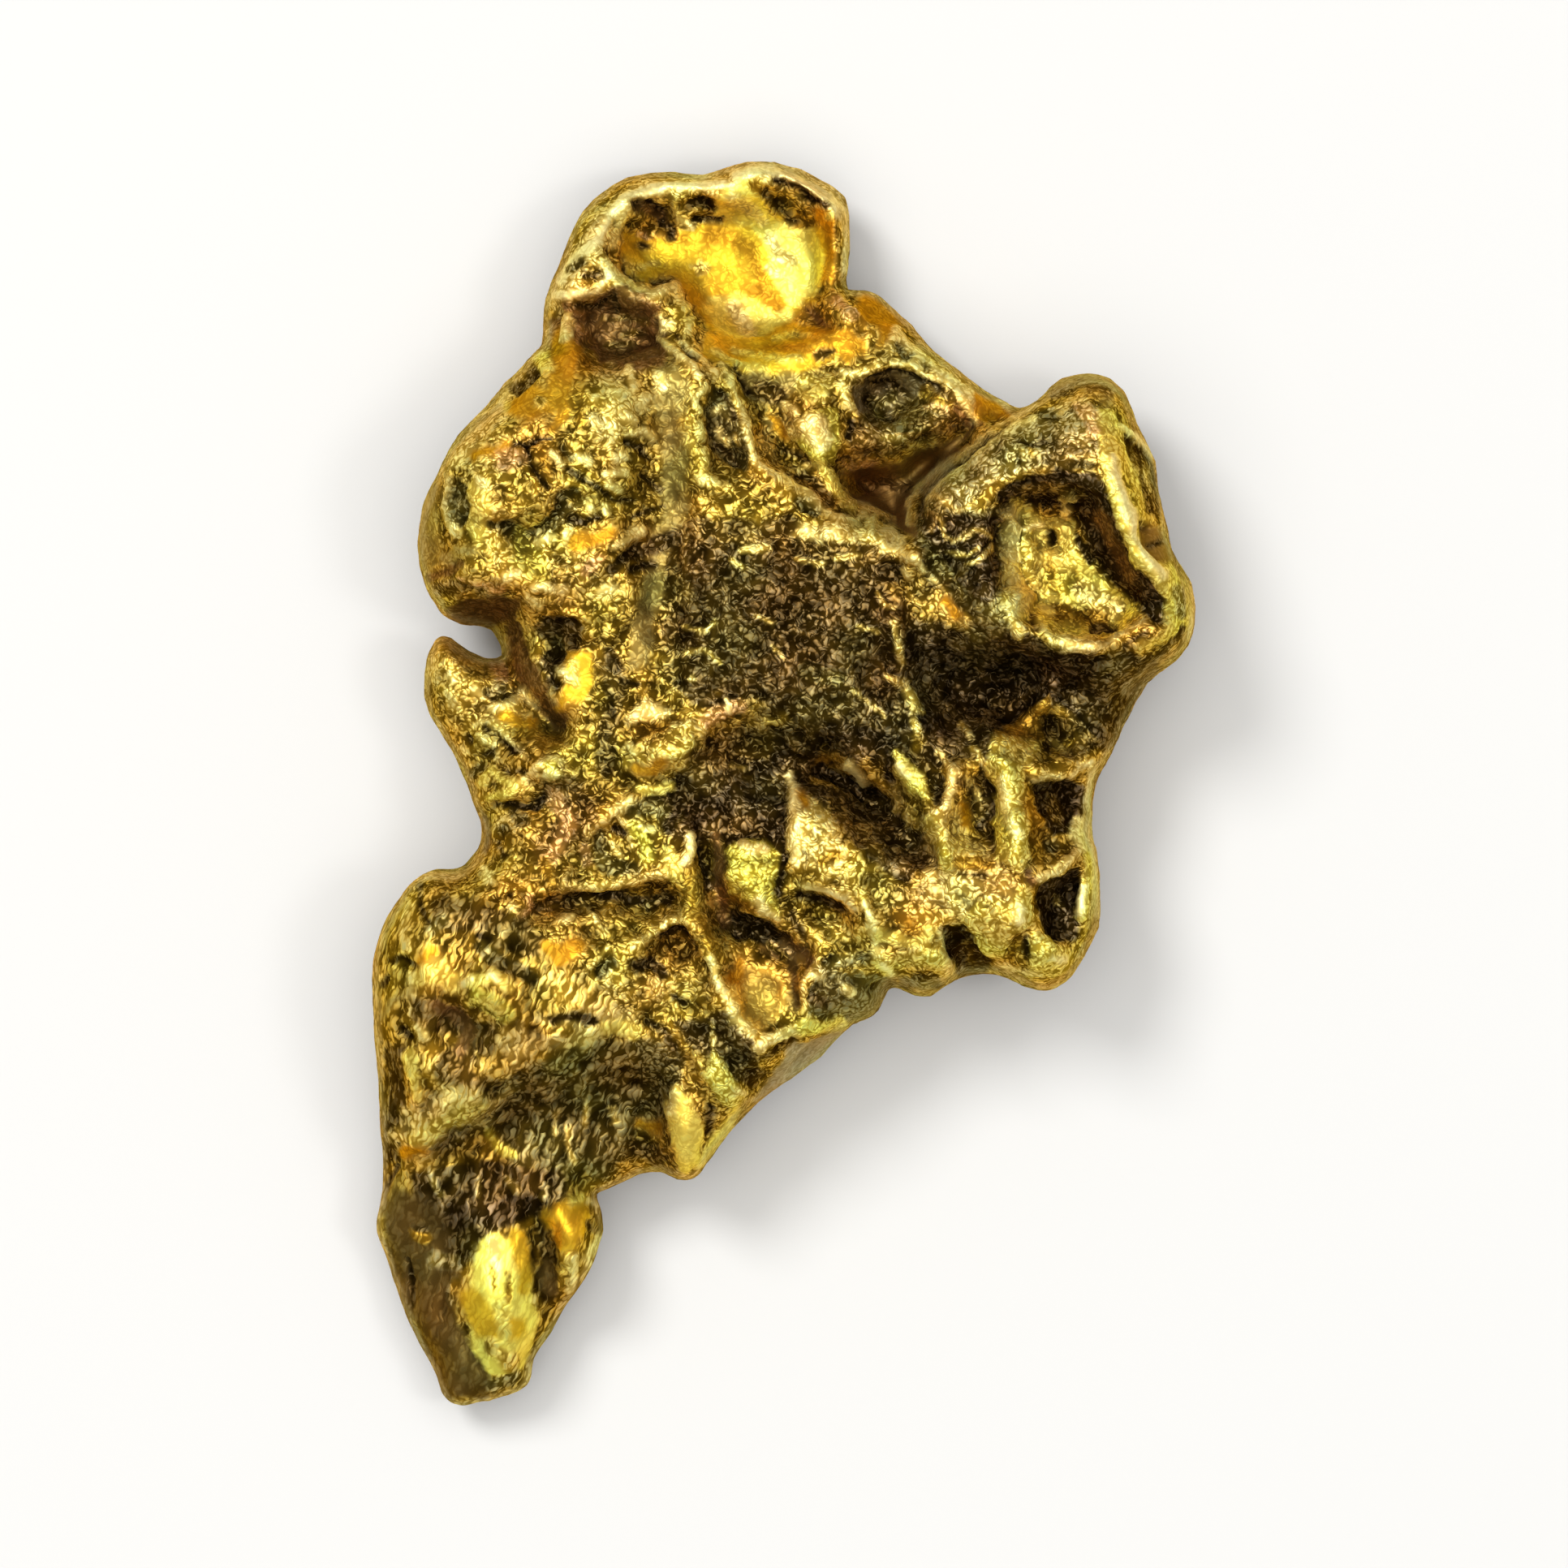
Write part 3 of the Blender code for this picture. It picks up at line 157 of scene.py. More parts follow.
TOP_LOBE = [
    ("straw", 0.25, 0.0, [(-4.3, 9.3), (-3.9, 10.1), (-3.4, 10.9), (-2.6, 11.4), (-1.3, 11.6), (-0.3, 11.8),
        (0.8, 11.3)]),
    ("facet", 0.09, 0.05, [(-4.3, 9.65), (-4.05, 10.0), (-3.6, 10.4), (-3.35, 10.9), (-3.1, 11.2),
        (-2.3, 11.5), (-1.5, 11.5), (-1.1, 11.5)]),
    ("facet", 0.12, 0.04, [(-0.9, 11.7), (-0.4, 11.85), (0.1, 11.7), (0.5, 11.45), (0.85, 11.25),
        (1.1, 11.0)]),
    ("cream", 0.09, 0.02, [(1.15, 10.9), (1.2, 10.3), (1.15, 9.9)]),
    ("honey", 0.08, -0.03, [(-3.1, 10.6), (-3.1, 9.9), (-2.6, 9.65), (-2.0, 9.75), (-1.7, 9.3), (-1.4, 8.8),
        (-0.8, 8.55), (0.1, 8.9), (0.6, 9.4), (0.9, 10.0), (0.75, 10.6), (0.0, 10.9), (-1.4, 10.8),
        (-2.4, 10.4), (-3.1, 10.6)]),
    ("olive", 0.05, -0.02, [(-3.1, 10.1), (-3.05, 9.85), (-2.7, 9.65)]),
    ("bright", 0.12, 0.0, [(-2.9, 10.0), (-2.4, 10.15), (-1.9, 10.2), (-1.6, 9.95)]),
    ("orange", 0.20, 0.0, [(-1.4, 10.55), (-1.0, 10.5), (-0.7, 10.35)]),
    ("orange", 0.15, 0.0, [(-2.6, 10.35), (-2.0, 10.5)]),
    # Painted light on the bowl's bright right wall and on its lower end, with cream highlights laid into
    # them below.
    ("glow", 0.10, 0.0, [(-1.3, 11.0), (-1.1, 11.4), (-0.7, 11.5), (-0.4, 11.0), (-0.1, 10.7), (0.5, 10.6),
        (0.7, 10.1), (0.5, 9.6), (0.2, 9.3), (-0.1, 9.7), (-0.25, 10.3), (-0.6, 10.8), (-1.3, 11.0)]),
    ("glow", 0.14, 0.0, [(-1.4, 9.25), (-0.9, 9.3), (-0.4, 9.05), (0.1, 9.0), (-0.3, 8.65), (-0.7, 8.55),
        (-1.2, 8.9), (-1.4, 9.25)]),
    ("cream", 0.13, 0.0, [(-1.0, 9.2), (-0.75, 8.9), (-0.65, 8.65)]),
    ("cream", 0.12, 0.0, [(-1.0, 11.25), (-0.7, 11.1), (-0.4, 10.85)]),
    ("cream", 0.12, 0.0, [(-0.3, 10.55), (-0.1, 10.2), (0.1, 10.1)]),
    ("cream", 0.09, 0.0, [(-0.3, 9.95), (-0.15, 9.85)]),
    ("orange", 0.14, 0.0, [(-0.6, 10.4), (-0.55, 10.05), (-0.4, 9.7)]),
    ("orange", 0.12, 0.0, [(-0.55, 9.55), (-0.3, 9.4), (-0.15, 9.2)]),
    ("cream", 0.11, 0.05, [(-3.3, 10.35), (-3.2, 10.65), (-3.15, 10.95), (-3.0, 11.1)]),
    ("cream", 0.11, 0.06, [(-3.45, 9.95), (-3.2, 9.65), (-2.9, 9.45), (-2.5, 9.35), (-2.2, 9.5)]),
    ("facet", 0.08, 0.05, [(-4.4, 9.4), (-4.0, 9.4), (-3.6, 9.45), (-3.4, 9.7)]),
    ("umber", 0.07, -0.04, [(-3.85, 9.75), (-3.55, 9.75)]),
    ("olive", 0.08, -0.03, [(-4.1, 9.85), (-3.85, 10.0)]),
    ("olive", 0.09, -0.03, [(-2.5, 9.65), (-2.2, 9.7)]),
    ("maroon", 0.11, -0.05, [(-2.85, 11.1), (-2.5, 11.05), (-2.3, 10.9)]),
    ("black", 0.06, -0.06, [(-2.9, 11.15), (-2.6, 11.2), (-2.3, 11.0)]),
    ("black", 0.09, -0.06, [(-2.35, 10.8), (-2.15, 10.7), (-2.2, 10.55)]),
    ("pink", 0.06, 0.0, [(-2.75, 10.62), (-2.65, 10.57)]),
    ("honey", 0.20, 0.0, [(-2.85, 10.2), (-2.3, 10.25), (-1.8, 10.15)]),
    ("brown", 0.06, -0.03, [(-2.75, 10.4), (-2.62, 10.35)]),
    ("umber", 0.12, -0.06, [(-1.85, 11.15), (-1.6, 11.2), (-1.4, 11.1)]),
    ("umber", 0.07, -0.06, [(-1.7, 10.87), (-1.45, 10.9), (-1.2, 10.87)]),
    ("cream", 0.07, 0.06, [(-2.05, 11.35), (-2.1, 11.15), (-1.95, 10.85), (-1.8, 10.75)]),
    ("orange", 0.13, -0.03, [(0.3, 10.85), (0.65, 10.95), (0.85, 10.8)]),
    ("amber", 0.10, -0.05, [(-0.55, 11.5), (-0.1, 11.3), (0.3, 11.0), (0.45, 10.8)]),
    ("black", 0.07, -0.06, [(-0.15, 11.6), (0.25, 11.5), (0.55, 11.25), (0.8, 11.1)]),
    ("brown", 0.08, -0.05, [(-0.35, 11.35), (0.0, 11.05), (0.15, 10.85)]),
    ("gold", 0.035, 0.03, [(-0.2, 11.5), (0.15, 11.3), (0.4, 11.05), (0.55, 10.95)]),
    ("lemon", 0.08, 0.0, [(0.85, 10.9)]),
    ("orange", 0.12, 0.0, [(0.85, 10.7), (0.9, 10.2), (0.85, 9.7)]),
    ("maroon", 0.10, 0.06, [(-4.2, 9.2), (-3.7, 9.15), (-3.3, 9.5), (-2.9, 9.3), (-2.4, 9.2), (-2.25, 8.6),
        (-2.3, 8.1), (-2.9, 7.9), (-3.5, 8.1), (-3.75, 8.5), (-4.0, 8.9), (-4.2, 9.2)]),
    ("umber", 0.07, -0.05, [(-4.1, 9.2), (-3.6, 9.17), (-3.3, 9.4), (-3.2, 9.15)]),
    ("brown", 0.07, 0.03, [(-3.5, 8.95), (-3.0, 9.0), (-2.6, 8.9)]),
    ("brown", 0.06, 0.03, [(-3.1, 8.6), (-2.7, 8.7)]),
    ("brown", 0.06, 0.03, [(-3.4, 8.4), (-2.9, 8.45)]),
    ("maroon", 0.10, -0.05, [(-4.4, 8.9), (-4.4, 8.4), (-4.2, 8.25)]),
    ("orange", 0.32, 0.0, [(-4.1, 8.4), (-4.2, 7.9), (-4.3, 7.4), (-4.7, 7.3), (-5.0, 7.15)]),
    ("orange", 0.15, 0.0, [(-4.2, 7.0), (-4.4, 6.8)]),
    ("amber", 0.15, 0.0, [(-3.8, 8.1), (-3.95, 7.4), (-3.9, 6.9)]),
    ("pink", 0.08, 0.03, [(-3.95, 8.75), (-3.9, 8.5)]),
    ("cream", 0.09, 0.09, [(-4.17, 8.97), (-4.17, 8.55)]),
    ("cream", 0.08, 0.05, [(-2.1, 9.6), (-2.0, 9.3), (-1.85, 9.1)]),
    ("cream", 0.07, 0.05, [(-2.15, 8.85)]),
    ("cream", 0.07, 0.05, [(-1.8, 8.9), (-1.85, 8.65)]),
    ("cream", 0.06, 0.05, [(-2.35, 9.1), (-2.25, 8.65)]),
    ("umber", 0.06, -0.05, [(-2.05, 8.6), (-1.9, 8.35), (-1.7, 8.1)]),
    ("cream", 0.07, 0.06, [(-2.3, 8.5), (-2.1, 8.25), (-1.8, 8.05), (-1.65, 7.8)]),
    ("cream", 0.05, 0.05, [(-1.95, 8.45), (-1.7, 8.25), (-1.5, 8.0), (-1.35, 7.75)]),
    ("honey", 0.08, 0.0, [(-1.45, 8.6), (-0.9, 8.5), (-0.4, 8.55), (0.1, 8.8), (0.8, 8.7), (1.0, 8.3),
        (0.5, 7.95), (-0.7, 7.95), (-1.5, 8.2), (-1.45, 8.6)]),
    ("orange", 0.08, 0.0, [(-0.4, 8.4), (0.1, 8.35), (0.5, 8.3)]),
    ("lemon", 0.05, 0.03, [(-1.0, 8.35), (-0.5, 8.25), (-0.1, 8.15), (0.3, 8.15)]),
    ("lemon", 0.04, 0.03, [(-0.2, 8.55), (0.2, 8.65), (0.7, 8.6), (0.85, 8.4)]),
    ("lemon", 0.04, 0.03, [(-1.35, 8.3), (-0.9, 8.05), (-0.4, 7.97)]),
    ("brown", 0.10, -0.03, [(0.65, 8.2), (0.9, 8.3)]),
    ("satin", 0.25, 0.0, [(-0.6, 7.7), (-0.2, 7.5), (0.1, 7.7)]),
    ("maroon", 0.10, -0.06, [(0.45, 9.15), (0.6, 8.95), (0.8, 8.82)]),
    ("amber", 0.10, -0.04, [(0.8, 9.55), (0.65, 9.3)]),
    ("orange", 0.30, 0.0, [(1.6, 9.1), (2.0, 8.9), (1.3, 8.3)]),
    ("amber", 0.20, -0.05, [(0.95, 8.8), (1.35, 8.8)]),
    ("pink", 0.12, 0.04, [(1.0, 9.25), (1.2, 9.1), (1.3, 9.0)]),
    ("gold", 0.20, 0.0, [(1.6, 8.6), (1.5, 8.2)]),
    ("orange", 0.22, 0.0, [(0.75, 8.6), (1.1, 8.5), (1.35, 8.35)]),
]

ARM = [
    # The broken-up pit between the pale arm and the pocket.
    ("brown", 0.10, 0.0, [(1.3, 7.8), (1.5, 7.0), (1.3, 6.5), (1.9, 6.4), (2.6, 6.6), (3.5, 6.9),
        (3.4, 7.3), (2.9, 7.65), (2.2, 7.9), (1.3, 7.8)]),
    ("grey", 0.07, -0.04, [(1.6, 7.65), (2.1, 7.9), (2.6, 7.75), (2.95, 7.6), (2.6, 7.3), (2.3, 7.15),
        (1.9, 7.0), (1.5, 7.2), (1.4, 7.5), (1.6, 7.65)]),
    ("black", 0.05, -0.05, [(1.65, 7.75), (2.0, 7.87), (2.4, 7.83), (2.8, 7.65), (3.0, 7.6)]),
    ("umber", 0.09, -0.05, [(1.65, 7.4), (1.85, 7.15), (2.1, 7.05)]),
    ("umber", 0.07, -0.03, [(1.75, 7.65), (2.1, 7.7), (2.4, 7.4)]),
    ("brown", 0.14, 0.03, [(2.2, 7.2), (2.6, 7.3), (2.9, 7.3)]),
    ("olive", 0.10, 0.03, [(1.8, 7.3), (2.1, 7.45)]),
    ("amber", 0.10, 0.0, [(2.7, 7.5), (3.05, 7.3), (3.4, 7.1)]),
    ("sage", 0.05, 0.04, [(1.5, 7.05), (1.6, 6.8), (1.75, 6.68)]),
    ("lime", 0.05, 0.03, [(1.8, 7.1), (1.9, 7.0)]),
    ("olive", 0.12, -0.02, [(1.6, 7.0), (2.1, 6.85), (2.5, 6.85), (3.0, 7.1)]),
    ("sage", 0.10, 0.0, [(1.9, 6.65), (2.3, 6.6)]),
    ("straw", 0.05, 0.04, [(2.45, 6.48), (2.7, 6.5), (2.95, 6.6)]),
    ("brown", 0.06, 0.03, [(2.4, 6.9), (3.0, 7.0), (3.5, 7.05)]),
    ("pink", 0.04, 0.03, [(2.7, 7.2), (3.05, 7.2), (3.25, 7.15)]),
    ("maroon", 0.08, -0.04, [(3.3, 7.2), (3.55, 6.95), (3.75, 6.85)]),
    ("black", 0.08, -0.05, [(1.3, 6.95), (1.25, 6.65)]),
    ("cream", 0.10, 0.06, [(2.15, 8.7), (2.45, 8.35), (2.65, 8.15), (2.9, 7.95), (3.2, 7.72), (3.5, 7.5),
        (3.7, 7.35)]),
    ("straw", 0.07, 0.05, [(2.1, 8.55), (2.0, 8.2), (1.75, 7.98), (1.45, 7.85)]),
    ("cream", 0.06, 0.05, [(2.05, 8.05), (2.45, 8.05), (2.7, 7.82), (2.95, 7.72)]),
    ("slate", 0.06, -0.05, [(2.2, 8.4), (2.3, 8.15), (2.4, 8.2)]),
    ("olive", 0.05, -0.05, [(2.68, 8.05), (2.78, 7.95)]),
    ("cream", 0.06, 0.04, [(3.3, 7.5), (3.45, 7.3), (3.6, 7.1), (3.7, 6.95)]),
    ("orange", 0.06, -0.03, [(3.7, 7.45), (4.0, 7.4), (4.3, 7.1), (4.2, 6.9), (3.9, 6.9), (3.7, 7.1),
        (3.7, 7.45)]),
    ("cream", 0.05, 0.03, [(4.15, 7.35), (4.3, 7.25)]),
    # The lime crest left of it and what runs down to the plate.
    ("lime", 0.08, 0.05, [(0.2, 6.75), (0.5, 7.05), (0.95, 7.15), (0.95, 6.5), (0.9, 6.2), (0.6, 6.3),
        (0.2, 6.75)]),
    ("cream", 0.19, 0.03, [(0.55, 6.9), (0.75, 6.55)]),
    ("sun", 0.20, 0.02, [(0.4, 7.6), (0.75, 7.75), (0.7, 7.4)]),
    ("lemon", 0.10, 0.04, [(0.45, 7.4), (0.75, 7.5)]),
    ("cream", 0.09, 0.05, [(0.0, 7.25), (0.2, 7.15)]),
    ("cream", 0.08, 0.05, [(1.1, 7.9), (1.35, 7.85)]),
    ("cream", 0.07, 0.05, [(1.12, 7.65), (1.17, 7.4), (1.3, 7.2)]),
    ("orange", 0.14, 0.0, [(-0.25, 6.95), (0.0, 6.75)]),
    ("straw", 0.13, 0.03, [(0.12, 7.0), (0.25, 6.75)]),
    ("straw", 0.10, 0.03, [(-0.35, 6.9), (-0.4, 6.5), (-0.2, 6.25)]),
    ("brown", 0.16, 0.0, [(-0.4, 7.55), (-0.1, 7.45)]),
    ("brown", 0.14, 0.0, [(0.2, 5.95), (0.5, 5.75), (0.85, 5.35)]),
    ("brown", 0.09, -0.03, [(0.0, 6.4), (0.45, 6.2)]),
    ("straw", 0.07, 0.05, [(0.15, 5.97), (0.45, 6.08)]),
    ("lemon", 0.09, 0.06, [(0.65, 6.2), (0.85, 5.95), (0.97, 5.65), (1.1, 5.4), (1.3, 5.25)]),
    ("pink", 0.06, 0.04, [(1.15, 6.1), (1.45, 6.15), (1.7, 6.2)]),
    ("umber", 0.05, -0.03, [(0.95, 6.2), (1.3, 6.27), (1.6, 6.32)]),
    # The smooth pocket below.
    ("rust", 0.05, 0.0, [(1.1, 5.97), (2.1, 6.12), (3.0, 6.5), (3.7, 6.75), (3.2, 6.25), (2.5, 5.7),
        (2.4, 5.3), (2.5, 4.75), (2.3, 4.85), (1.9, 5.2), (1.4, 5.35), (1.1, 5.97)]),
    ("maroon", 0.14, 0.0, [(1.5, 5.7), (2.0, 5.8), (2.4, 5.7)]),
    ("amber", 0.10, 0.0, [(1.2, 5.85), (1.4, 5.6)]),
    ("straw", 0.035, 0.02, [(1.3, 5.32), (1.5, 5.32), (1.8, 5.25), (2.1, 5.08)]),
    ("gold", 0.07, 0.03, [(3.4, 6.5), (3.8, 6.75), (4.2, 7.0)]),
]

RIGHT_LOBE = [
    ("cream", 0.06, 0.06, [(2.42, 4.95), (2.42, 5.4), (2.6, 5.75), (3.0, 6.05), (3.6, 6.45), (4.2, 6.9),
        (4.8, 7.25)]),
    ("umber", 0.045, -0.06, [(2.6, 5.1), (2.65, 5.5), (3.1, 5.95), (3.7, 6.4), (4.3, 6.85)]),
    ("cream", 0.05, 0.04, [(2.75, 5.45), (3.0, 5.75), (3.5, 6.15), (3.9, 6.45), (4.4, 6.85), (4.8, 6.95)]),
    ("pink", 0.15, 0.03, [(5.7, 7.2), (5.85, 6.9), (5.9, 6.7)]),
    ("straw", 0.10, 0.03, [(5.3, 7.1), (5.5, 7.35), (5.75, 7.3)]),
    ("brown", 0.12, 0.0, [(5.2, 7.45), (5.7, 7.65), (6.2, 7.5)]),
    ("umber", 0.07, -0.06, [(4.45, 6.55), (4.7, 6.45), (4.9, 6.55)]),
    ("amber", 0.05, 0.03, [(4.7, 6.35), (4.78, 6.1)]),
    ("straw", 0.06, 0.04, [(4.55, 6.3), (4.5, 6.1)]),
    ("straw", 0.07, 0.03, [(5.75, 6.25), (5.8, 6.15)]),
    ("olive", 0.10, -0.03, [(4.5, 6.15), (5.2, 6.05), (5.8, 6.05)]),
    # Painted shadow: the dark band along the pocket's upper and right walls.
    ("black", 0.08, -0.04, [(4.1, 5.5), (4.6, 5.75), (5.3, 5.9), (5.9, 5.8), (6.15, 5.4), (6.3, 4.9),
        (6.6, 4.2), (7.1, 3.75), (7.3, 3.3), (7.1, 3.1), (6.7, 3.5), (6.2, 4.0), (5.8, 4.8), (5.6, 5.3),
        (5.0, 5.35), (4.3, 5.3), (4.1, 5.5)]),
    ("brown", 0.10, 0.02, [(4.6, 5.55), (5.1, 5.6), (5.6, 5.5)]),
    ("maroon", 0.12, 0.0, [(6.0, 5.1), (6.2, 4.6), (6.6, 3.95)]),
    # Painted light on the pocket's bright floor.
    ("lemon", 0.08, 0.0, [(4.4, 5.3), (5.0, 5.05), (5.45, 4.95), (5.5, 4.4), (6.0, 3.9), (6.7, 3.3),
        (6.4, 2.95), (5.7, 2.8), (4.9, 3.1), (4.5, 3.2), (4.2, 4.0), (4.2, 4.9), (4.4, 5.3)]),
    ("lime", 0.25, 0.0, [(5.2, 3.9), (5.6, 3.7)]),
    ("amber", 0.16, 0.0, [(5.2, 3.3), (5.7, 3.2), (6.1, 3.2)]),
    ("straw", 0.20, 0.0, [(5.7, 3.7), (6.4, 3.35)]),
    # Painted light over the shade of the pocket's left wall, which the first of these marks also raises
    # into a ramp.
    ("sun", 0.30, 0.16, [(4.5, 4.9), (4.45, 4.2), (4.5, 3.6)]),
    ("cream", 0.18, 0.06, [(4.34, 5.1), (4.30, 4.4), (4.35, 3.8), (4.5, 3.35)]),
    ("cream", 0.12, 0.05, [(4.3, 3.3), (4.45, 2.9)]),
    ("cream", 0.09, 0.03, [(4.6, 4.9), (4.9, 4.95)]),
    ("cream", 0.08, 0.06, [(5.7, 3.55)]),
    ("cream", 0.08, 0.04, [(4.9, 3.35), (5.1, 3.25)]),
    ("umber", 0.08, -0.07, [(5.1, 4.8), (5.13, 4.62)]),
    ("umber", 0.10, -0.06, [(5.6, 4.7), (5.85, 4.3)]),
    ("cream", 0.09, 0.08, [(5.38, 5.15)]),
    ("cream", 0.06, 0.06, [(5.3, 5.4), (5.5, 5.4)]),
    ("umber", 0.09, -0.06, [(5.9, 2.95), (6.3, 3.0)]),
    ("brown", 0.08, -0.05, [(4.7, 3.2), (4.8, 2.95)]),
    ("cream", 0.06, 0.06, [(4.9, 3.0), (5.1, 2.75), (5.5, 2.6), (6.1, 2.62), (6.5, 2.9), (6.9, 3.07)]),
    ("straw", 0.06, 0.03, [(5.15, 2.95), (5.5, 2.75), (5.9, 2.75)]),
    ("umber", 0.08, -0.06, [(6.5, 2.6), (6.9, 2.9)]),
    ("lemon", 0.05, 0.05, [(6.0, 7.1), (6.25, 7.0), (6.45, 6.4), (6.7, 5.7), (6.95, 5.05), (6.72, 4.95),
        (6.8, 4.55), (7.05, 4.15), (7.4, 4.1), (7.75, 3.8), (7.85, 3.4), (7.75, 3.0), (7.45, 2.85),
        (7.3, 3.1), (7.3, 3.5), (7.0, 3.9), (6.65, 4.2), (6.4, 4.9), (6.2, 5.5), (6.05, 6.2), (6.0, 7.1)]),
    ("lime", 0.14, 0.0, [(6.3, 6.0), (6.5, 5.5), (6.6, 5.2)]),
    ("sage", 0.12, 0.0, [(7.5, 3.7), (7.55, 3.3)]),
    ("facet", 0.08, 0.05, [(6.2, 6.2), (6.35, 5.6), (6.55, 5.1), (6.6, 4.75), (6.85, 4.3), (7.15, 3.95)]),
    ("lemon", 0.10, 0.04, [(7.4, 3.0), (7.1, 2.75), (6.8, 2.62)]),
    ("cream", 0.06, 0.0, [(7.85, 3.7), (7.88, 3.3), (7.75, 2.8)]),
    ("umber", 0.08, -0.05, [(7.6, 2.95), (7.3, 2.6), (7.1, 2.4)]),
    ("brown", 0.06, 0.0, [(6.55, 6.45), (6.9, 6.2), (7.15, 5.8), (7.15, 5.2), (6.95, 5.2), (6.75, 5.8),
        (6.55, 6.45)]),
    ("rust", 0.06, -0.05, [(6.8, 4.9), (7.1, 4.85), (7.4, 4.35), (7.1, 4.25), (6.85, 4.55), (6.8, 4.9)]),
    ("umber", 0.06, -0.05, [(6.75, 4.97), (6.9, 4.9)]),
    ("black", 0.06, -0.05, [(7.05, 4.55), (7.2, 4.65)]),
    ("facet", 0.07, 0.10, [(6.4, 6.8), (6.7, 6.65), (7.05, 6.3)]),
    ("black", 0.05, -0.06, [(6.5, 6.6), (6.8, 6.4), (7.05, 6.1), (7.15, 5.7)]),
    ("straw", 0.05, 0.03, [(7.2, 6.1), (7.3, 5.6)]),
    ("straw", 0.04, 0.03, [(6.85, 6.0), (6.95, 5.6)]),
    ("gold", 0.12, 0.0, [(6.4, 7.3), (6.7, 7.0)]),
    # Worms of metal over the dark slope beside the pocket.
    ("black", 0.16, 0.0, [(2.85, 4.9), (3.4, 5.0), (3.9, 5.0), (3.95, 4.3), (3.8, 3.6), (3.4, 4.0),
        (3.0, 4.5), (2.85, 4.9)]),
    ("straw", 0.035, 0.03, [(3.0, 5.05), (3.05, 4.75), (3.25, 4.62), (3.5, 4.72)]),
    ("straw", 0.035, 0.03, [(3.5, 4.78), (3.75, 4.86), (3.95, 4.7)]),
    ("straw", 0.035, 0.03, [(3.15, 4.4), (3.5, 4.35), (3.7, 4.5)]),
    ("straw", 0.04, 0.04, [(3.5, 4.15), (3.8, 4.35), (4.0, 4.52)]),
    ("brown", 0.04, 0.03, [(3.0, 3.75), (3.3, 3.95), (3.5, 4.15)]),
    ("brown", 0.04, 0.02, [(2.75, 5.15), (2.9, 5.1), (2.8, 4.8)]),
    ("straw", 0.05, 0.03, [(2.9, 5.5), (3.3, 5.2), (3.7, 5.3)]),
    ("bright", 0.22, 0.03, [(2.6, 3.6), (3.0, 3.5), (3.3, 3.2)]),
    ("orange", 0.12, 0.0, [(3.1, 3.5), (3.3, 3.25)]),
    ("cream", 0.06, 0.05, [(2.3, 4.35), (2.55, 4.25), (2.65, 4.05)]),
    ("cream", 0.06, 0.05, [(2.3, 4.1), (2.4, 3.95)]),
    ("cream", 0.06, 0.05, [(2.8, 3.92), (2.9, 3.85)]),
    ("straw", 0.05, 0.04, [(4.4, 3.1), (4.5, 2.8)]),
]

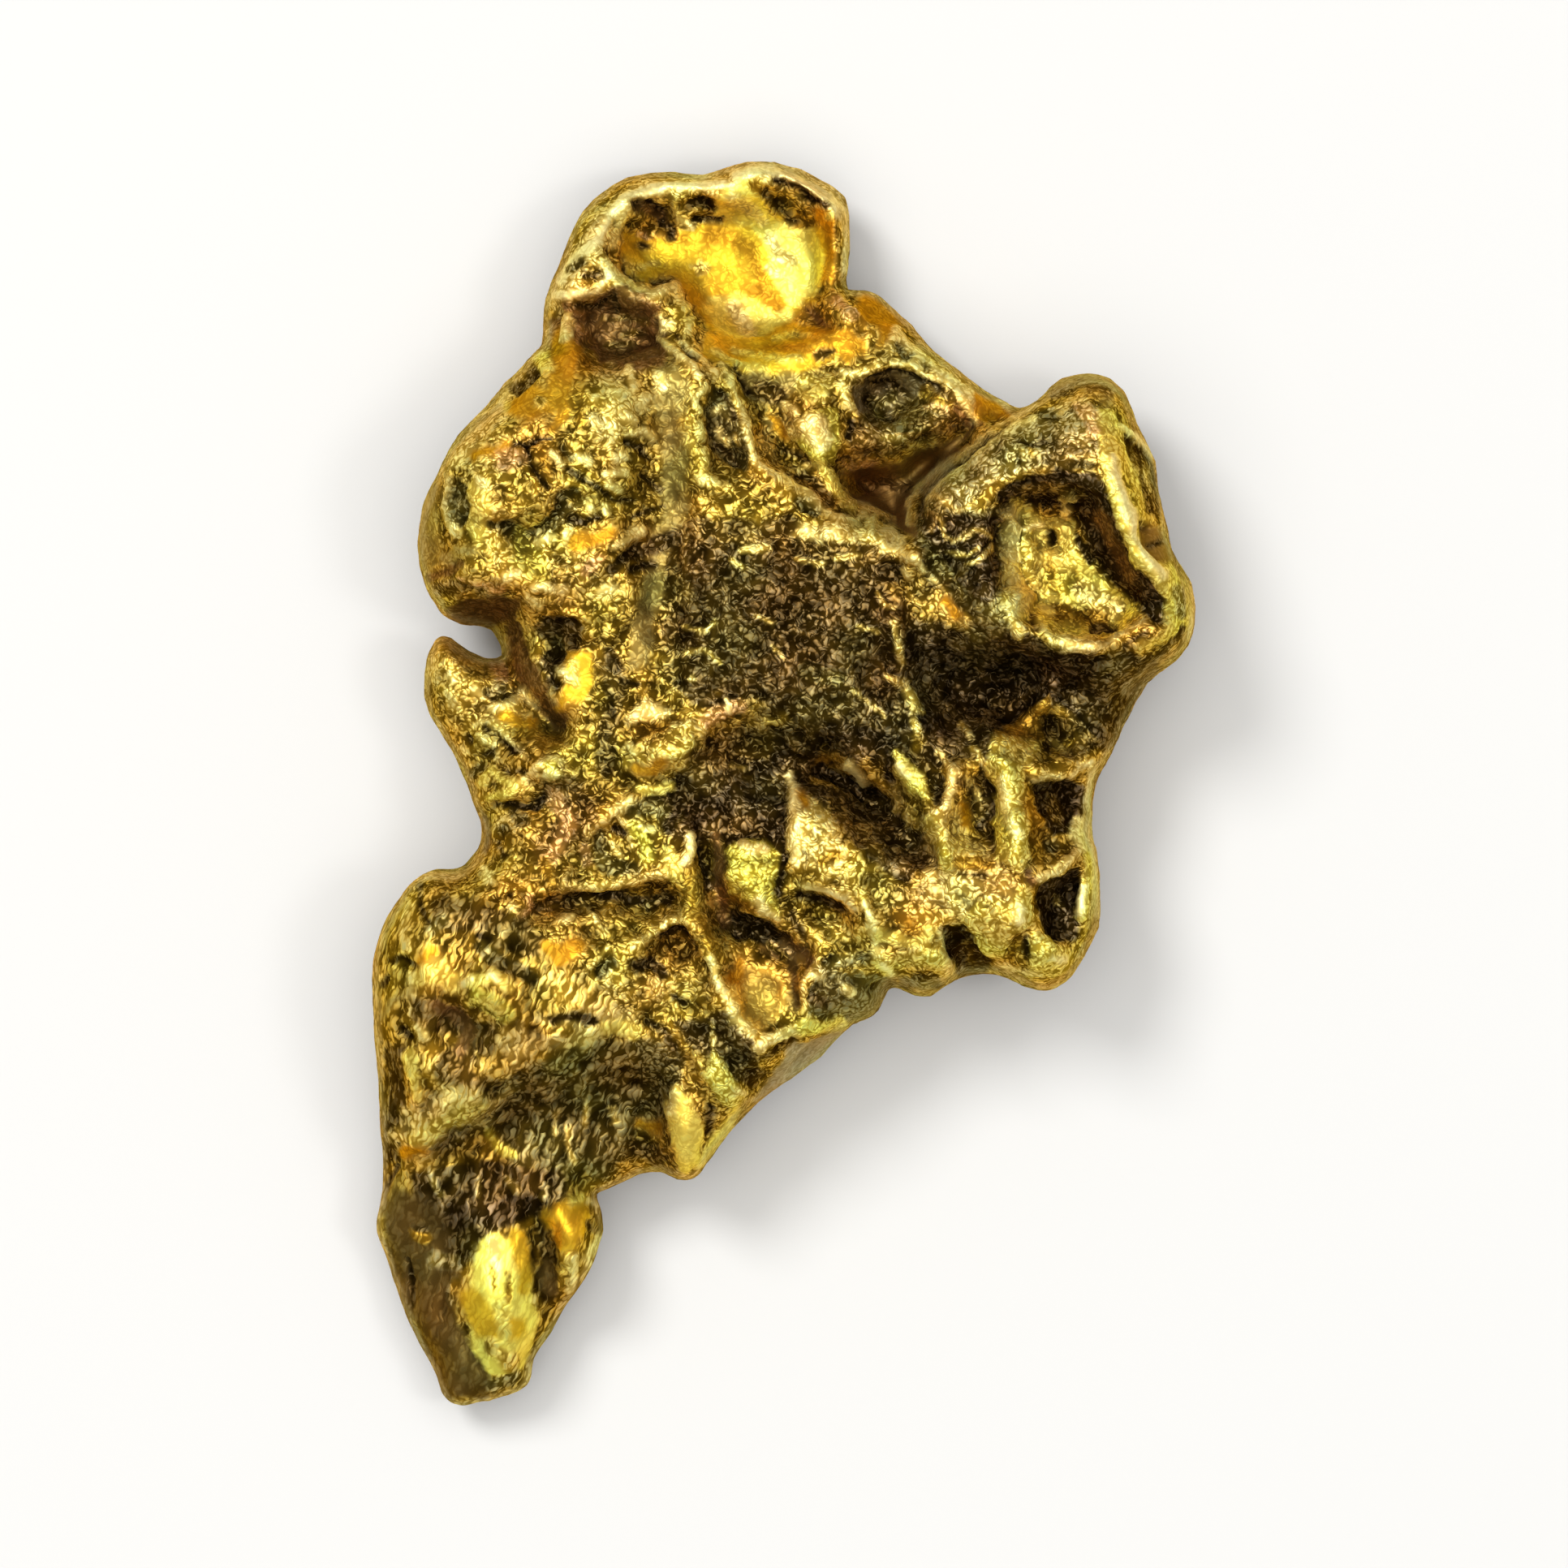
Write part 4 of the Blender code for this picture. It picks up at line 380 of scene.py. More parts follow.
PLATE = [
    ("cream", 0.06, 0.06, [(-1.2, 8.0), (-1.0, 7.6), (-0.85, 7.3), (-0.75, 7.0), (-0.7, 6.6), (-0.6, 6.25),
        (-0.4, 6.0), (0.0, 5.8), (0.35, 5.6), (0.7, 5.25), (0.95, 5.08), (1.4, 5.07)]),
    ("umber", 0.05, -0.05, [(-0.95, 7.95), (-0.65, 7.5)]),
    ("slate", 0.05, -0.03, [(-1.35, 7.55), (-1.1, 7.45), (-0.9, 6.95), (-0.78, 6.5), (-0.7, 6.0),
        (-1.0, 6.1), (-1.3, 6.35), (-1.4, 6.7), (-1.45, 7.1), (-1.35, 7.55)]),
    ("umber", 0.05, -0.04, [(-1.3, 6.5), (-1.1, 6.3), (-0.9, 6.05)]),
    ("umber", 0.05, -0.04, [(-1.25, 7.5), (-1.05, 7.3), (-0.95, 7.0)]),
    ("cream", 0.05, 0.05, [(-1.35, 7.1), (-1.2, 7.2)]),
    ("cream", 0.05, 0.05, [(-1.28, 6.78), (-1.1, 6.5)]),
    ("straw", 0.04, 0.05, [(-0.98, 6.65), (-0.9, 6.5)]),
    ("cream", 0.06, 0.06, [(-1.5, 7.6), (-1.7, 7.3), (-1.6, 7.1)]),
    ("cream", 0.07, 0.06, [(-1.6, 6.85), (-1.55, 6.6)]),
    ("straw", 0.06, 0.05, [(-1.55, 6.4), (-1.5, 6.1)]),
    ("cream", 0.09, 0.05, [(-1.6, 5.85), (-1.35, 5.7), (-1.05, 5.6)]),
    ("straw", 0.07, 0.05, [(-1.45, 7.8), (-1.25, 7.85)]),
    ("gold", 0.25, 0.02, [(-1.4, 5.4), (-0.8, 5.5), (-0.1, 5.4)]),
    ("straw", 0.18, 0.03, [(0.3, 4.85), (0.8, 4.75), (1.4, 4.8), (2.0, 4.8)]),
    ("cream", 0.10, 0.04, [(0.4, 4.85), (0.7, 4.65), (0.95, 4.8)]),
    ("cream", 0.09, 0.05, [(2.0, 4.8), (2.25, 4.65), (2.2, 4.45), (1.9, 4.5)]),
    ("cream", 0.06, 0.05, [(1.5, 5.15), (1.7, 5.05), (1.65, 4.8)]),
    ("straw", 0.04, 0.04, [(1.2, 5.35), (1.5, 5.3), (2.0, 5.08)]),
    ("straw", 0.07, 0.03, [(-0.8, 4.45), (-0.3, 4.5)]),
    ("straw", 0.05, 0.03, [(0.25, 4.3), (0.6, 4.2), (0.75, 4.2)]),
    ("straw", 0.05, 0.03, [(1.0, 4.3), (1.4, 4.35)]),
    ("straw", 0.05, 0.03, [(-1.0, 4.25), (-0.8, 4.15)]),
    ("olive", 0.12, -0.06, [(0.3, 5.35), (0.6, 5.2)]),
    ("brown", 0.16, -0.03, [(-1.2, 4.95), (-0.5, 4.8), (0.1, 5.0)]),
    ("umber", 0.18, -0.03, [(-1.7, 4.4), (-1.3, 4.3)]),
    ("umber", 0.18, -0.05, [(1.6, 4.0), (2.1, 4.05)]),
    ("umber", 0.16, -0.03, [(0.4, 3.25), (0.9, 3.3)]),
    ("umber", 0.14, -0.03, [(-1.5, 2.3), (-1.2, 2.7)]),
    ("umber", 0.14, -0.03, [(1.7, 3.5), (1.5, 2.9)]),
    ("olive", 0.16, -0.03, [(0.4, 2.2), (1.0, 2.0)]),
    ("straw", 0.04, 0.03, [(1.8, 3.65), (1.9, 3.4), (2.1, 3.35)]),
    ("straw", 0.04, 0.03, [(-0.5, 3.2), (-0.2, 3.05)]),
    ("straw", 0.04, 0.03, [(-0.2, 2.6), (0.0, 2.4)]),
    ("straw", 0.04, 0.03, [(1.4, 3.0), (1.8, 2.9)]),
    ("straw", 0.035, 0.03, [(-1.9, 3.0), (-1.5, 2.9), (-1.3, 3.1)]),
    ("straw", 0.035, 0.03, [(-1.9, 2.5), (-1.5, 2.55), (-1.2, 2.3)]),
    ("straw", 0.05, 0.04, [(2.05, 3.1), (2.15, 2.7), (2.25, 2.3)]),
    ("straw", 0.06, 0.05, [(1.95, 2.05), (2.3, 1.9), (2.45, 1.5), (2.6, 1.35)]),
    ("straw", 0.05, 0.05, [(2.45, 1.25), (2.55, 1.0)]),
    ("straw", 0.05, 0.04, [(3.4, 1.15), (3.55, 0.9)]),
    ("straw", 0.035, 0.03, [(1.3, 1.8), (1.9, 1.3)]),
    ("umber", 0.12, -0.04, [(-2.0, 1.9), (-1.6, 1.6), (-1.0, 1.6)]),
]

LEFT_LOBE = [
    ("straw", 0.30, 0.02, [(-3.3, 7.6), (-3.1, 7.2), (-3.3, 6.8)]),
    ("cream", 0.09, 0.05, [(-2.95, 7.85), (-2.85, 7.6)]),
    ("cream", 0.10, 0.05, [(-2.4, 7.8), (-2.3, 7.6)]),
    ("cream", 0.08, 0.05, [(-3.6, 7.35)]),
    ("cream", 0.08, 0.05, [(-3.2, 7.4), (-3.0, 7.45)]),
    ("cream", 0.08, 0.05, [(-2.7, 7.2), (-2.65, 7.35)]),
    ("cream", 0.09, 0.05, [(-3.65, 7.0), (-3.5, 6.85)]),
    ("cream", 0.08, 0.05, [(-3.0, 7.0), (-2.9, 6.9)]),
    ("cream", 0.07, 0.05, [(-2.95, 6.65), (-2.7, 6.75), (-2.5, 6.6)]),
    ("umber", 0.08, -0.06, [(-2.95, 6.5), (-2.75, 6.4), (-2.6, 6.2)]),
    ("umber", 0.12, -0.08, [(-5.15, 7.55), (-4.9, 7.72), (-4.78, 7.9)]),
    ("lemon", 0.14, 0.07, [(-4.65, 8.15), (-4.55, 8.0)]),
    ("gold", 0.10, 0.05, [(-4.65, 7.3)]),
    ("lemon", 0.12, 0.03, [(-5.35, 7.25), (-5.5, 7.0)]),
    ("cream", 0.08, 0.04, [(-5.3, 7.45), (-5.55, 7.1)]),
    ("straw", 0.20, 0.02, [(-6.3, 6.2), (-5.9, 6.65), (-5.5, 7.0)]),
    ("straw", 0.07, 0.04, [(-6.45, 6.0), (-6.2, 6.1), (-5.9, 6.0)]),
    ("cream", 0.07, 0.06, [(-6.42, 5.9), (-6.42, 5.4), (-6.33, 5.0), (-6.2, 4.75)]),
    ("lemon", 0.20, 0.03, [(-5.85, 5.6), (-5.75, 5.2), (-5.85, 4.8)]),
    ("cream", 0.08, 0.04, [(-5.8, 5.8), (-5.7, 5.7)]),
    ("slate", 0.05, -0.05, [(-6.25, 5.8), (-6.1, 5.6), (-6.0, 5.25), (-6.15, 4.95), (-6.3, 5.1),
        (-6.36, 5.45), (-6.25, 5.8)]),
    ("sage", 0.04, 0.04, [(-6.2, 5.4), (-6.15, 5.2)]),
    ("orange", 0.12, 0.0, [(-5.9, 6.25), (-5.5, 6.35), (-5.3, 6.45)]),
    ("pink", 0.20, 0.0, [(-5.3, 6.15), (-5.0, 6.2)]),
    ("brown", 0.05, -0.04, [(-5.02, 6.1)]),
    ("black", 0.045, -0.08, [(-5.15, 6.52), (-4.95, 6.5), (-4.65, 6.6), (-4.45, 6.6)]),
    ("black", 0.045, -0.08, [(-4.95, 6.5), (-4.85, 6.3), (-4.78, 6.0), (-4.62, 5.8), (-4.45, 5.62)]),
    ("amber", 0.12, 0.0, [(-4.6, 6.3), (-4.55, 6.0)]),
    ("cream", 0.07, 0.06, [(-4.42, 6.3), (-4.25, 6.1)]),
    ("olive", 0.08, -0.06, [(-4.2, 6.4), (-4.05, 6.2)]),
    ("cream", 0.08, 0.05, [(-3.95, 6.25), (-3.75, 6.15)]),
    ("cream", 0.08, 0.05, [(-3.2, 6.2), (-3.0, 6.25)]),
    ("cream", 0.07, 0.05, [(-3.4, 5.9), (-3.05, 5.95)]),
    ("cream", 0.07, 0.05, [(-3.35, 5.7), (-3.15, 5.6)]),
    ("umber", 0.05, -0.07, [(-4.1, 6.0), (-3.8, 5.8), (-3.5, 5.6), (-3.25, 5.4), (-2.9, 5.4)]),
    ("olive", 0.10, -0.05, [(-4.0, 5.55), (-4.2, 5.4), (-4.35, 5.15)]),
    ("olive", 0.09, -0.05, [(-4.5, 5.0), (-4.75, 4.78), (-5.0, 4.7), (-5.3, 4.85), (-5.6, 4.95)]),
    ("sage", 0.05, 0.05, [(-4.6, 4.65), (-4.35, 4.95), (-4.15, 5.2), (-3.9, 5.3)]),
    ("black", 0.09, -0.08, [(-4.05, 5.03), (-3.8, 4.98), (-3.5, 5.1)]),
    ("cream", 0.08, 0.06, [(-3.75, 5.35), (-3.65, 5.2)]),
    ("cream", 0.07, 0.06, [(-3.45, 5.3), (-3.35, 5.15)]),
    ("cream", 0.07, 0.05, [(-4.1, 4.85), (-4.15, 4.7)]),
    ("orange", 0.16, 0.0, [(-3.95, 4.6), (-3.6, 4.65), (-3.3, 4.8)]),
    ("cream", 0.10, 0.06, [(-2.95, 4.75), (-2.75, 4.82)]),
    ("cream", 0.08, 0.05, [(-3.25, 4.5), (-3.05, 4.62)]),
    ("pink", 0.10, 0.0, [(-3.8, 4.05), (-3.5, 4.3)]),
    ("umber", 0.14, -0.06, [(-3.25, 4.1), (-2.95, 4.35), (-2.5, 4.5), (-2.1, 4.7)]),
    ("umber", 0.10, -0.06, [(-2.9, 4.1), (-2.5, 4.2)]),
    ("umber", 0.05, -0.05, [(-2.9, 5.1), (-2.5, 5.25), (-2.3, 5.3)]),
    ("umber", 0.06, -0.05, [(-2.7, 5.9), (-2.35, 5.6)]),
    ("lime", 0.26, 0.0, [(-5.0, 4.5), (-4.6, 4.0)]),
    ("cream", 0.08, 0.04, [(-4.7, 4.6), (-4.4, 4.7)]),
    ("cream", 0.09, 0.04, [(-4.75, 3.75), (-4.2, 3.72)]),
    ("cream", 0.09, 0.04, [(-3.5, 3.65), (-3.25, 3.75)]),
    ("cream", 0.07, 0.04, [(-5.1, 4.0), (-5.3, 3.95)]),
    ("maroon", 0.10, -0.05, [(-6.8, 3.95), (-6.45, 4.05), (-6.15, 4.2)]),
    ("satin", 0.10, 0.03, [(-6.8, 4.15), (-6.5, 4.3), (-6.2, 4.45), (-5.9, 4.45)]),
    ("brown", 0.16, 0.0, [(-6.6, 3.75), (-6.0, 3.75), (-5.5, 3.7)]),
    ("pink", 0.05, 0.03, [(-6.2, 3.95), (-5.8, 3.85), (-5.4, 3.7)]),
    ("maroon", 0.09, -0.04, [(-6.4, 3.3), (-6.0, 3.45), (-5.5, 3.5), (-5.1, 3.45), (-5.2, 3.2), (-5.7, 3.1),
        (-6.1, 3.15), (-6.4, 3.3)]),
    ("cream", 0.06, 0.05, [(-4.9, 3.55), (-4.65, 3.4)]),
]

FIN = [
    ("maroon", 0.20, -0.05, [(-5.2, 3.0), (-5.1, 2.5), (-4.85, 2.1), (-4.65, 1.6), (-4.35, 1.2)]),
    ("umber", 0.22, -0.04, [(-4.6, 2.95), (-4.3, 2.9), (-4.0, 3.0), (-4.25, 2.6), (-4.5, 2.3)]),
    ("black", 0.07, -0.04, [(-4.5, 3.05), (-4.2, 3.1)]),
    ("olive", 0.08, 0.03, [(-4.35, 2.75), (-4.2, 2.6)]),
    ("black", 0.10, -0.05, [(-4.5, 2.0), (-4.35, 1.9)]),
    ("honey", 0.08, 0.03, [(-4.05, 2.45), (-3.75, 2.45), (-3.7, 1.9), (-3.95, 1.5), (-4.25, 1.5),
        (-4.1, 1.8), (-4.05, 2.45)]),
    ("lemon", 0.07, 0.02, [(-4.0, 2.3), (-3.95, 1.9)]),
    ("cream", 0.09, 0.05, [(-4.3, 2.2), (-4.12, 2.05)]),
    ("cream", 0.06, 0.05, [(-4.45, 1.75), (-4.35, 1.6)]),
    ("gold", 0.20, 0.0, [(-3.9, 1.4), (-3.8, 1.1)]),
    ("umber", 0.12, -0.04, [(-3.35, 2.5), (-3.25, 2.2)]),
    ("umber", 0.05, -0.04, [(-3.1, 1.95), (-2.8, 1.9)]),
    ("umber", 0.05, -0.04, [(-3.3, 1.7), (-3.25, 1.3)]),
    ("pink", 0.12, 0.0, [(-5.55, 2.3), (-5.4, 2.1)]),
    ("cream", 0.06, 0.04, [(-6.45, 1.75), (-6.35, 1.5)]),
    ("cream", 0.05, 0.04, [(-6.4, 2.1), (-6.3, 1.95)]),
    ("straw", 0.08, 0.03, [(-6.75, 2.4), (-6.7, 2.0)]),
    ("olive", 0.09, -0.05, [(-5.7, 1.8), (-5.45, 1.88), (-5.4, 1.7), (-5.6, 1.65)]),
    ("cream", 0.07, 0.05, [(-5.9, 1.8), (-5.75, 1.65)]),
    ("cream", 0.08, 0.05, [(-5.65, 1.45), (-5.4, 1.5), (-5.15, 1.6)]),
    ("cream", 0.10, 0.05, [(-5.0, 1.75), (-4.8, 1.55)]),
    ("cream", 0.06, 0.05, [(-4.9, 1.3), (-4.88, 1.1)]),
    ("orange", 0.14, 0.0, [(-5.4, 1.3), (-5.1, 1.2), (-4.8, 1.1)]),
    ("cream", 0.05, 0.05, [(-5.95, 1.1), (-5.85, 1.2), (-5.6, 1.2), (-5.5, 1.05), (-5.3, 0.87), (-5.1, 0.7),
        (-4.95, 0.5)]),
    ("black", 0.05, -0.05, [(-5.75, 1.07), (-5.55, 0.97)]),
    ("cream", 0.06, 0.05, [(-5.85, 0.95), (-5.62, 0.75), (-5.5, 0.5)]),
    ("black", 0.06, -0.05, [(-5.42, 0.85), (-5.2, 0.62), (-5.05, 0.6)]),
    ("umber", 0.06, -0.06, [(-6.1, 0.9), (-6.0, 0.8)]),
    ("umber", 0.06, -0.06, [(-5.8, 0.55), (-5.6, 0.6)]),
    ("cream", 0.05, 0.04, [(-6.2, 0.7), (-6.1, 0.6)]),
    ("amber", 0.12, -0.02, [(-5.1, 0.95), (-4.6, 0.95), (-4.3, 0.85), (-4.6, 0.65)]),
    ("cream", 0.07, 0.05, [(-5.0, 0.0), (-4.75, 0.25), (-4.5, 0.47), (-4.25, 0.45)]),
    ("cream", 0.07, 0.04, [(-4.65, 0.15), (-4.3, 0.2)]),
    ("lime", 0.07, 0.0, [(-4.5, 0.35), (-4.4, 0.33)]),
    ("umber", 0.06, -0.06, [(-5.3, 0.25), (-4.95, 0.25)]),
    ("lemon", 0.09, 0.05, [(-5.75, 0.0), (-5.6, 0.27), (-5.4, 0.1), (-5.1, -0.05), (-5.4, -0.25),
        (-5.65, -0.25)]),
    ("olive", 0.06, 0.0, [(-5.6, 0.0), (-5.5, -0.05)]),
    ("olive", 0.10, 0.0, [(-5.95, 0.2), (-5.8, 0.3)]),
    ("black", 0.08, -0.07, [(-5.5, -0.4), (-5.1, -0.45), (-4.75, -0.45), (-4.6, -0.3)]),
    ("olive", 0.20, 0.0, [(-5.4, -0.8), (-5.0, -0.7)]),
    ("straw", 0.05, 0.04, [(-5.6, -0.9), (-5.3, -0.65), (-5.1, -0.9)]),
    ("maroon", 0.10, -0.03, [(-5.75, -0.7), (-5.65, -1.0), (-5.7, -1.25)]),
    ("umber", 0.06, -0.04, [(-5.5, -1.1), (-5.35, -1.35)]),
]

MIDDLE = [
    # The golden lump and the folds on the left.
    ("brown", 0.30, 0.0, [(-1.6, 0.5), (-1.0, 0.8), (-0.5, 0.8)]),
    ("bright", 0.32, 0.03, [(-2.8, 0.4), (-2.3, 0.6), (-1.8, 0.85)]),
    ("sun", 0.12, 0.03, [(-2.4, 0.6), (-2.0, 0.6), (-1.8, 0.75)]),
    ("orange", 0.12, 0.0, [(-2.8, 0.3), (-2.5, 0.25), (-2.3, 0.45)]),
    ("cream", 0.08, 0.07, [(-2.95, 1.22), (-2.65, 1.52), (-2.2, 1.36), (-2.6, 1.25), (-2.95, 1.22)]),
    ("amber", 0.12, -0.03, [(-2.7, 1.05), (-2.3, 1.1), (-2.0, 1.25)]),
    ("cream", 0.07, 0.05, [(-2.95, 0.72), (-2.8, 0.6)]),
    ("straw", 0.09, 0.04, [(-2.1, 1.1), (-1.8, 1.15), (-1.6, 1.0)]),
    ("pink", 0.12, 0.05, [(-1.5, 1.2), (-1.1, 1.42), (-0.8, 1.5)]),
    ("facet", 0.05, 0.05, [(-1.1, 1.6), (-1.05, 1.4)]),
    ("orange", 0.06, 0.0, [(-1.0, 1.3)]),
    ("cream", 0.05, 0.04, [(-1.75, 2.0)]),
    ("lemon", 0.10, 0.03, [(-2.8, -0.1), (-2.5, -0.15), (-2.2, -0.05)]),
    ("straw", 0.05, 0.02, [(-1.0, 0.35), (-0.75, 0.3)]),
    ("olive", 0.16, -0.04, [(-2.9, -0.5), (-2.5, -0.4), (-2.1, -0.6)]),
    ("black", 0.10, 0.0, [(-2.2, -0.8), (-2.05, -0.5)]),
    ("lime", 0.15, 0.05, [(-2.85, -0.85), (-2.65, -1.1), (-2.6, -1.4)]),
    ("cream", 0.06, 0.05, [(-2.75, -0.8), (-2.5, -0.9)]),
    ("olive", 0.16, -0.04, [(-3.55, -1.0), (-3.4, -1.55), (-2.9, -1.65)]),
    ("straw", 0.06, 0.05, [(-3.75, -0.97), (-3.4, -0.68), (-3.2, -0.45)]),
    ("cream", 0.08, 0.06, [(-3.25, -0.55), (-3.1, -0.45), (-2.9, -0.3)]),
    ("straw", 0.05, 0.05, [(-3.2, -0.55), (-3.0, -0.85), (-2.9, -1.2)]),
    ("black", 0.08, -0.05, [(-3.25, -0.85), (-3.05, -0.95)]),
    ("pink", 0.09, 0.03, [(-3.8, -1.2), (-3.75, -1.5)]),
    ("straw", 0.05, 0.03, [(-3.3, -1.1), (-3.1, -1.4)]),
    ("straw", 0.07, 0.07, [(-4.25, -2.0), (-4.05, -1.95), (-3.5, -1.95), (-2.9, -1.85), (-2.2, -1.7)]),
    ("straw", 0.06, 0.05, [(-4.25, -2.0), (-4.15, -1.75), (-4.05, -1.65)]),
    ("amber", 0.12, 0.0, [(-4.4, -1.9), (-4.55, -1.5)]),
    ("brown", 0.12, -0.04, [(-4.7, -2.35), (-4.2, -2.25), (-3.8, -2.15)]),
    ("black", 0.09, -0.05, [(-3.6, -2.12), (-3.2, -2.15), (-2.6, -2.25), (-2.15, -2.2)]),
    ("olive", 0.07, -0.04, [(-2.6, -2.3), (-2.25, -2.1)]),
    ("cream", 0.09, 0.06, [(-4.2, -2.6), (-4.05, -2.55)]),
    ("cream", 0.08, 0.06, [(-5.2, -2.35)]),
    ("black", 0.08, -0.05, [(-5.22, -2.12)]),
    ("pink", 0.07, 0.04, [(-4.85, -2.15), (-4.9, -2.4), (-5.0, -2.5)]),
    ("straw", 0.06, 0.05, [(-3.85, -2.3), (-3.6, -2.6), (-3.4, -2.85)]),
    ("straw", 0.07, 0.05, [(-2.9, -3.1), (-2.5, -2.85), (-2.2, -2.62), (-1.9, -2.6), (-1.6, -2.8)]),
    ("black", 0.05, -0.05, [(-2.35, -2.9), (-2.0, -2.78), (-1.75, -2.95), (-1.65, -3.15)]),
    ("umber", 0.10, -0.05, [(-2.9, -3.45), (-2.5, -3.4), (-2.3, -3.6)]),
    # The long ridge, its crack and the block beside it.
    ("amber", 0.14, 0.0, [(-1.85, -1.7), (-1.75, -2.3), (-1.5, -2.9), (-1.3, -3.3)]),
    ("gold", 0.07, 0.03, [(-2.0, -1.6), (-1.9, -2.3), (-1.7, -2.9), (-1.4, -3.4)]),
    ("lemon", 0.12, 0.02, [(-2.2, -1.3), (-2.1, -1.7)]),
    ("facet", 0.07, 0.08, [(-1.8, -1.0), (-1.78, -1.3), (-1.88, -1.5)]),
    ("black", 0.05, -0.10, [(-1.65, -1.05), (-1.57, -1.4), (-1.45, -1.75), (-1.42, -2.0)]),
    ("maroon", 0.12, 0.0, [(-1.3, -1.0), (-1.2, -1.6), (-1.2, -2.3), (-1.1, -2.7)]),
    ("lime", 0.09, 0.04, [(-1.0, -1.3), (-0.7, -1.15), (-0.3, -1.2), (-0.1, -1.6), (-0.2, -2.0),
        (-0.15, -2.5), (-0.5, -2.4), (-0.95, -2.1), (-0.95, -1.7), (-1.0, -1.3)]),
    ("amber", 0.10, 0.0, [(-0.95, -2.2), (-0.6, -2.35)]),
    ("cream", 0.07, 0.05, [(-0.8, -1.15), (-0.6, -1.3), (-0.35, -1.25)]),
    ("cream", 0.09, 0.05, [(-0.5, -2.2), (-0.35, -2.4), (-0.15, -2.55)]),
    ("black", 0.08, -0.05, [(-0.1, -2.1), (-0.05, -1.7), (0.0, -1.3)]),
    ("black", 0.08, -0.04, [(-1.0, -2.5), (-0.6, -2.6), (-0.2, -2.75), (0.1, -2.95), (-0.4, -3.0),
        (-0.9, -2.85), (-1.0, -2.5)]),
    ("maroon", 0.12, -0.05, [(0.0, -3.05), (0.3, -3.15), (0.5, -3.4)]),
    ("pink", 0.05, 0.04, [(-0.45, -3.1), (-0.15, -3.32)]),
    ("pink", 0.04, 0.04, [(-0.25, -3.02), (0.05, -3.22), (0.3, -3.38)]),
    ("black", 0.06, -0.06, [(0.75, -3.4), (0.95, -3.3)]),
    # The wedge, its dark wall and the ledge below it.
    ("umber", 0.10, 0.0, [(0.5, -0.1), (1.1, -0.2), (1.9, -0.8), (2.5, -1.5), (2.3, -1.8), (1.7, -1.4),
        (1.2, -0.8), (0.5, -0.1)]),
    ("brown", 0.12, 0.0, [(0.9, -0.45), (1.4, -0.8), (1.8, -1.3)]),
    ("straw", 0.07, 0.0, [(0.15, -0.2), (0.7, -0.45), (1.0, -0.9), (1.1, -1.4), (1.0, -1.6), (0.4, -1.5),
        (0.15, -1.0), (0.15, -0.2)]),
    ("facet", 0.07, 0.07, [(0.1, 0.15), (0.2, -0.1), (0.2, -0.5)]),
    ("cream", 0.10, 0.06, [(0.3, -0.6), (0.2, -1.0), (0.22, -1.45)]),
    ("orange", 0.08, 0.0, [(0.33, -0.25), (0.42, -0.4)]),
    ("amber", 0.10, 0.0, [(0.7, -1.5), (1.0, -1.35)]),
    ("facet", 0.05, 0.07, [(0.35, -1.9), (0.8, -2.0), (1.15, -2.12), (1.35, -2.4)]),
    ("black", 0.09, -0.05, [(0.3, -2.12), (0.75, -2.22), (1.1, -2.4)]),
    ("bright", 0.20, 0.0, [(0.8, -2.7), (1.3, -2.9)]),
    ("umber", 0.12, -0.03, [(0.15, -2.5), (0.35, -2.9)]),
    ("cream", 0.08, 0.06, [(1.55, -2.3), (1.7, -2.8), (1.8, -3.2)]),
    # The grooves and teeth right of the wedge.
    ("black", 0.16, -0.06, [(0.7, 0.25), (1.2, 0.0), (1.8, -0.3)]),
    ("umber", 0.25, -0.03, [(1.8, -0.5), (2.3, -0.9), (2.6, -1.4)]),
    ("amber", 0.06, 0.05, [(0.65, 0.45), (1.0, 0.58), (1.25, 0.38)]),
    ("facet", 0.09, 0.09, [(1.25, 0.4), (1.42, 0.2), (1.5, 0.02)]),
    ("gold", 0.13, 0.03, [(1.6, 0.35), (1.85, 0.1)]),
    ("brown", 0.06, 0.0, [(1.7, 0.4), (1.9, 0.35)]),
    ("black", 0.10, -0.04, [(1.95, 0.6), (2.0, 0.1)]),
    ("lemon", 0.09, 0.07, [(2.12, 0.55), (2.4, 0.35), (2.6, 0.1), (2.65, -0.2), (2.4, 0.0), (2.12, 0.55)]),
    ("facet", 0.05, 0.04, [(2.2, 0.4), (2.4, 0.15)]),
    ("straw", 0.06, 0.05, [(2.1, -0.1), (2.2, -0.35), (2.15, -0.5)]),
    ("straw", 0.06, 0.05, [(2.35, -0.5), (2.4, -0.8)]),
    ("brown", 0.10, 0.0, [(2.5, 0.5), (2.8, 0.2)]),
]

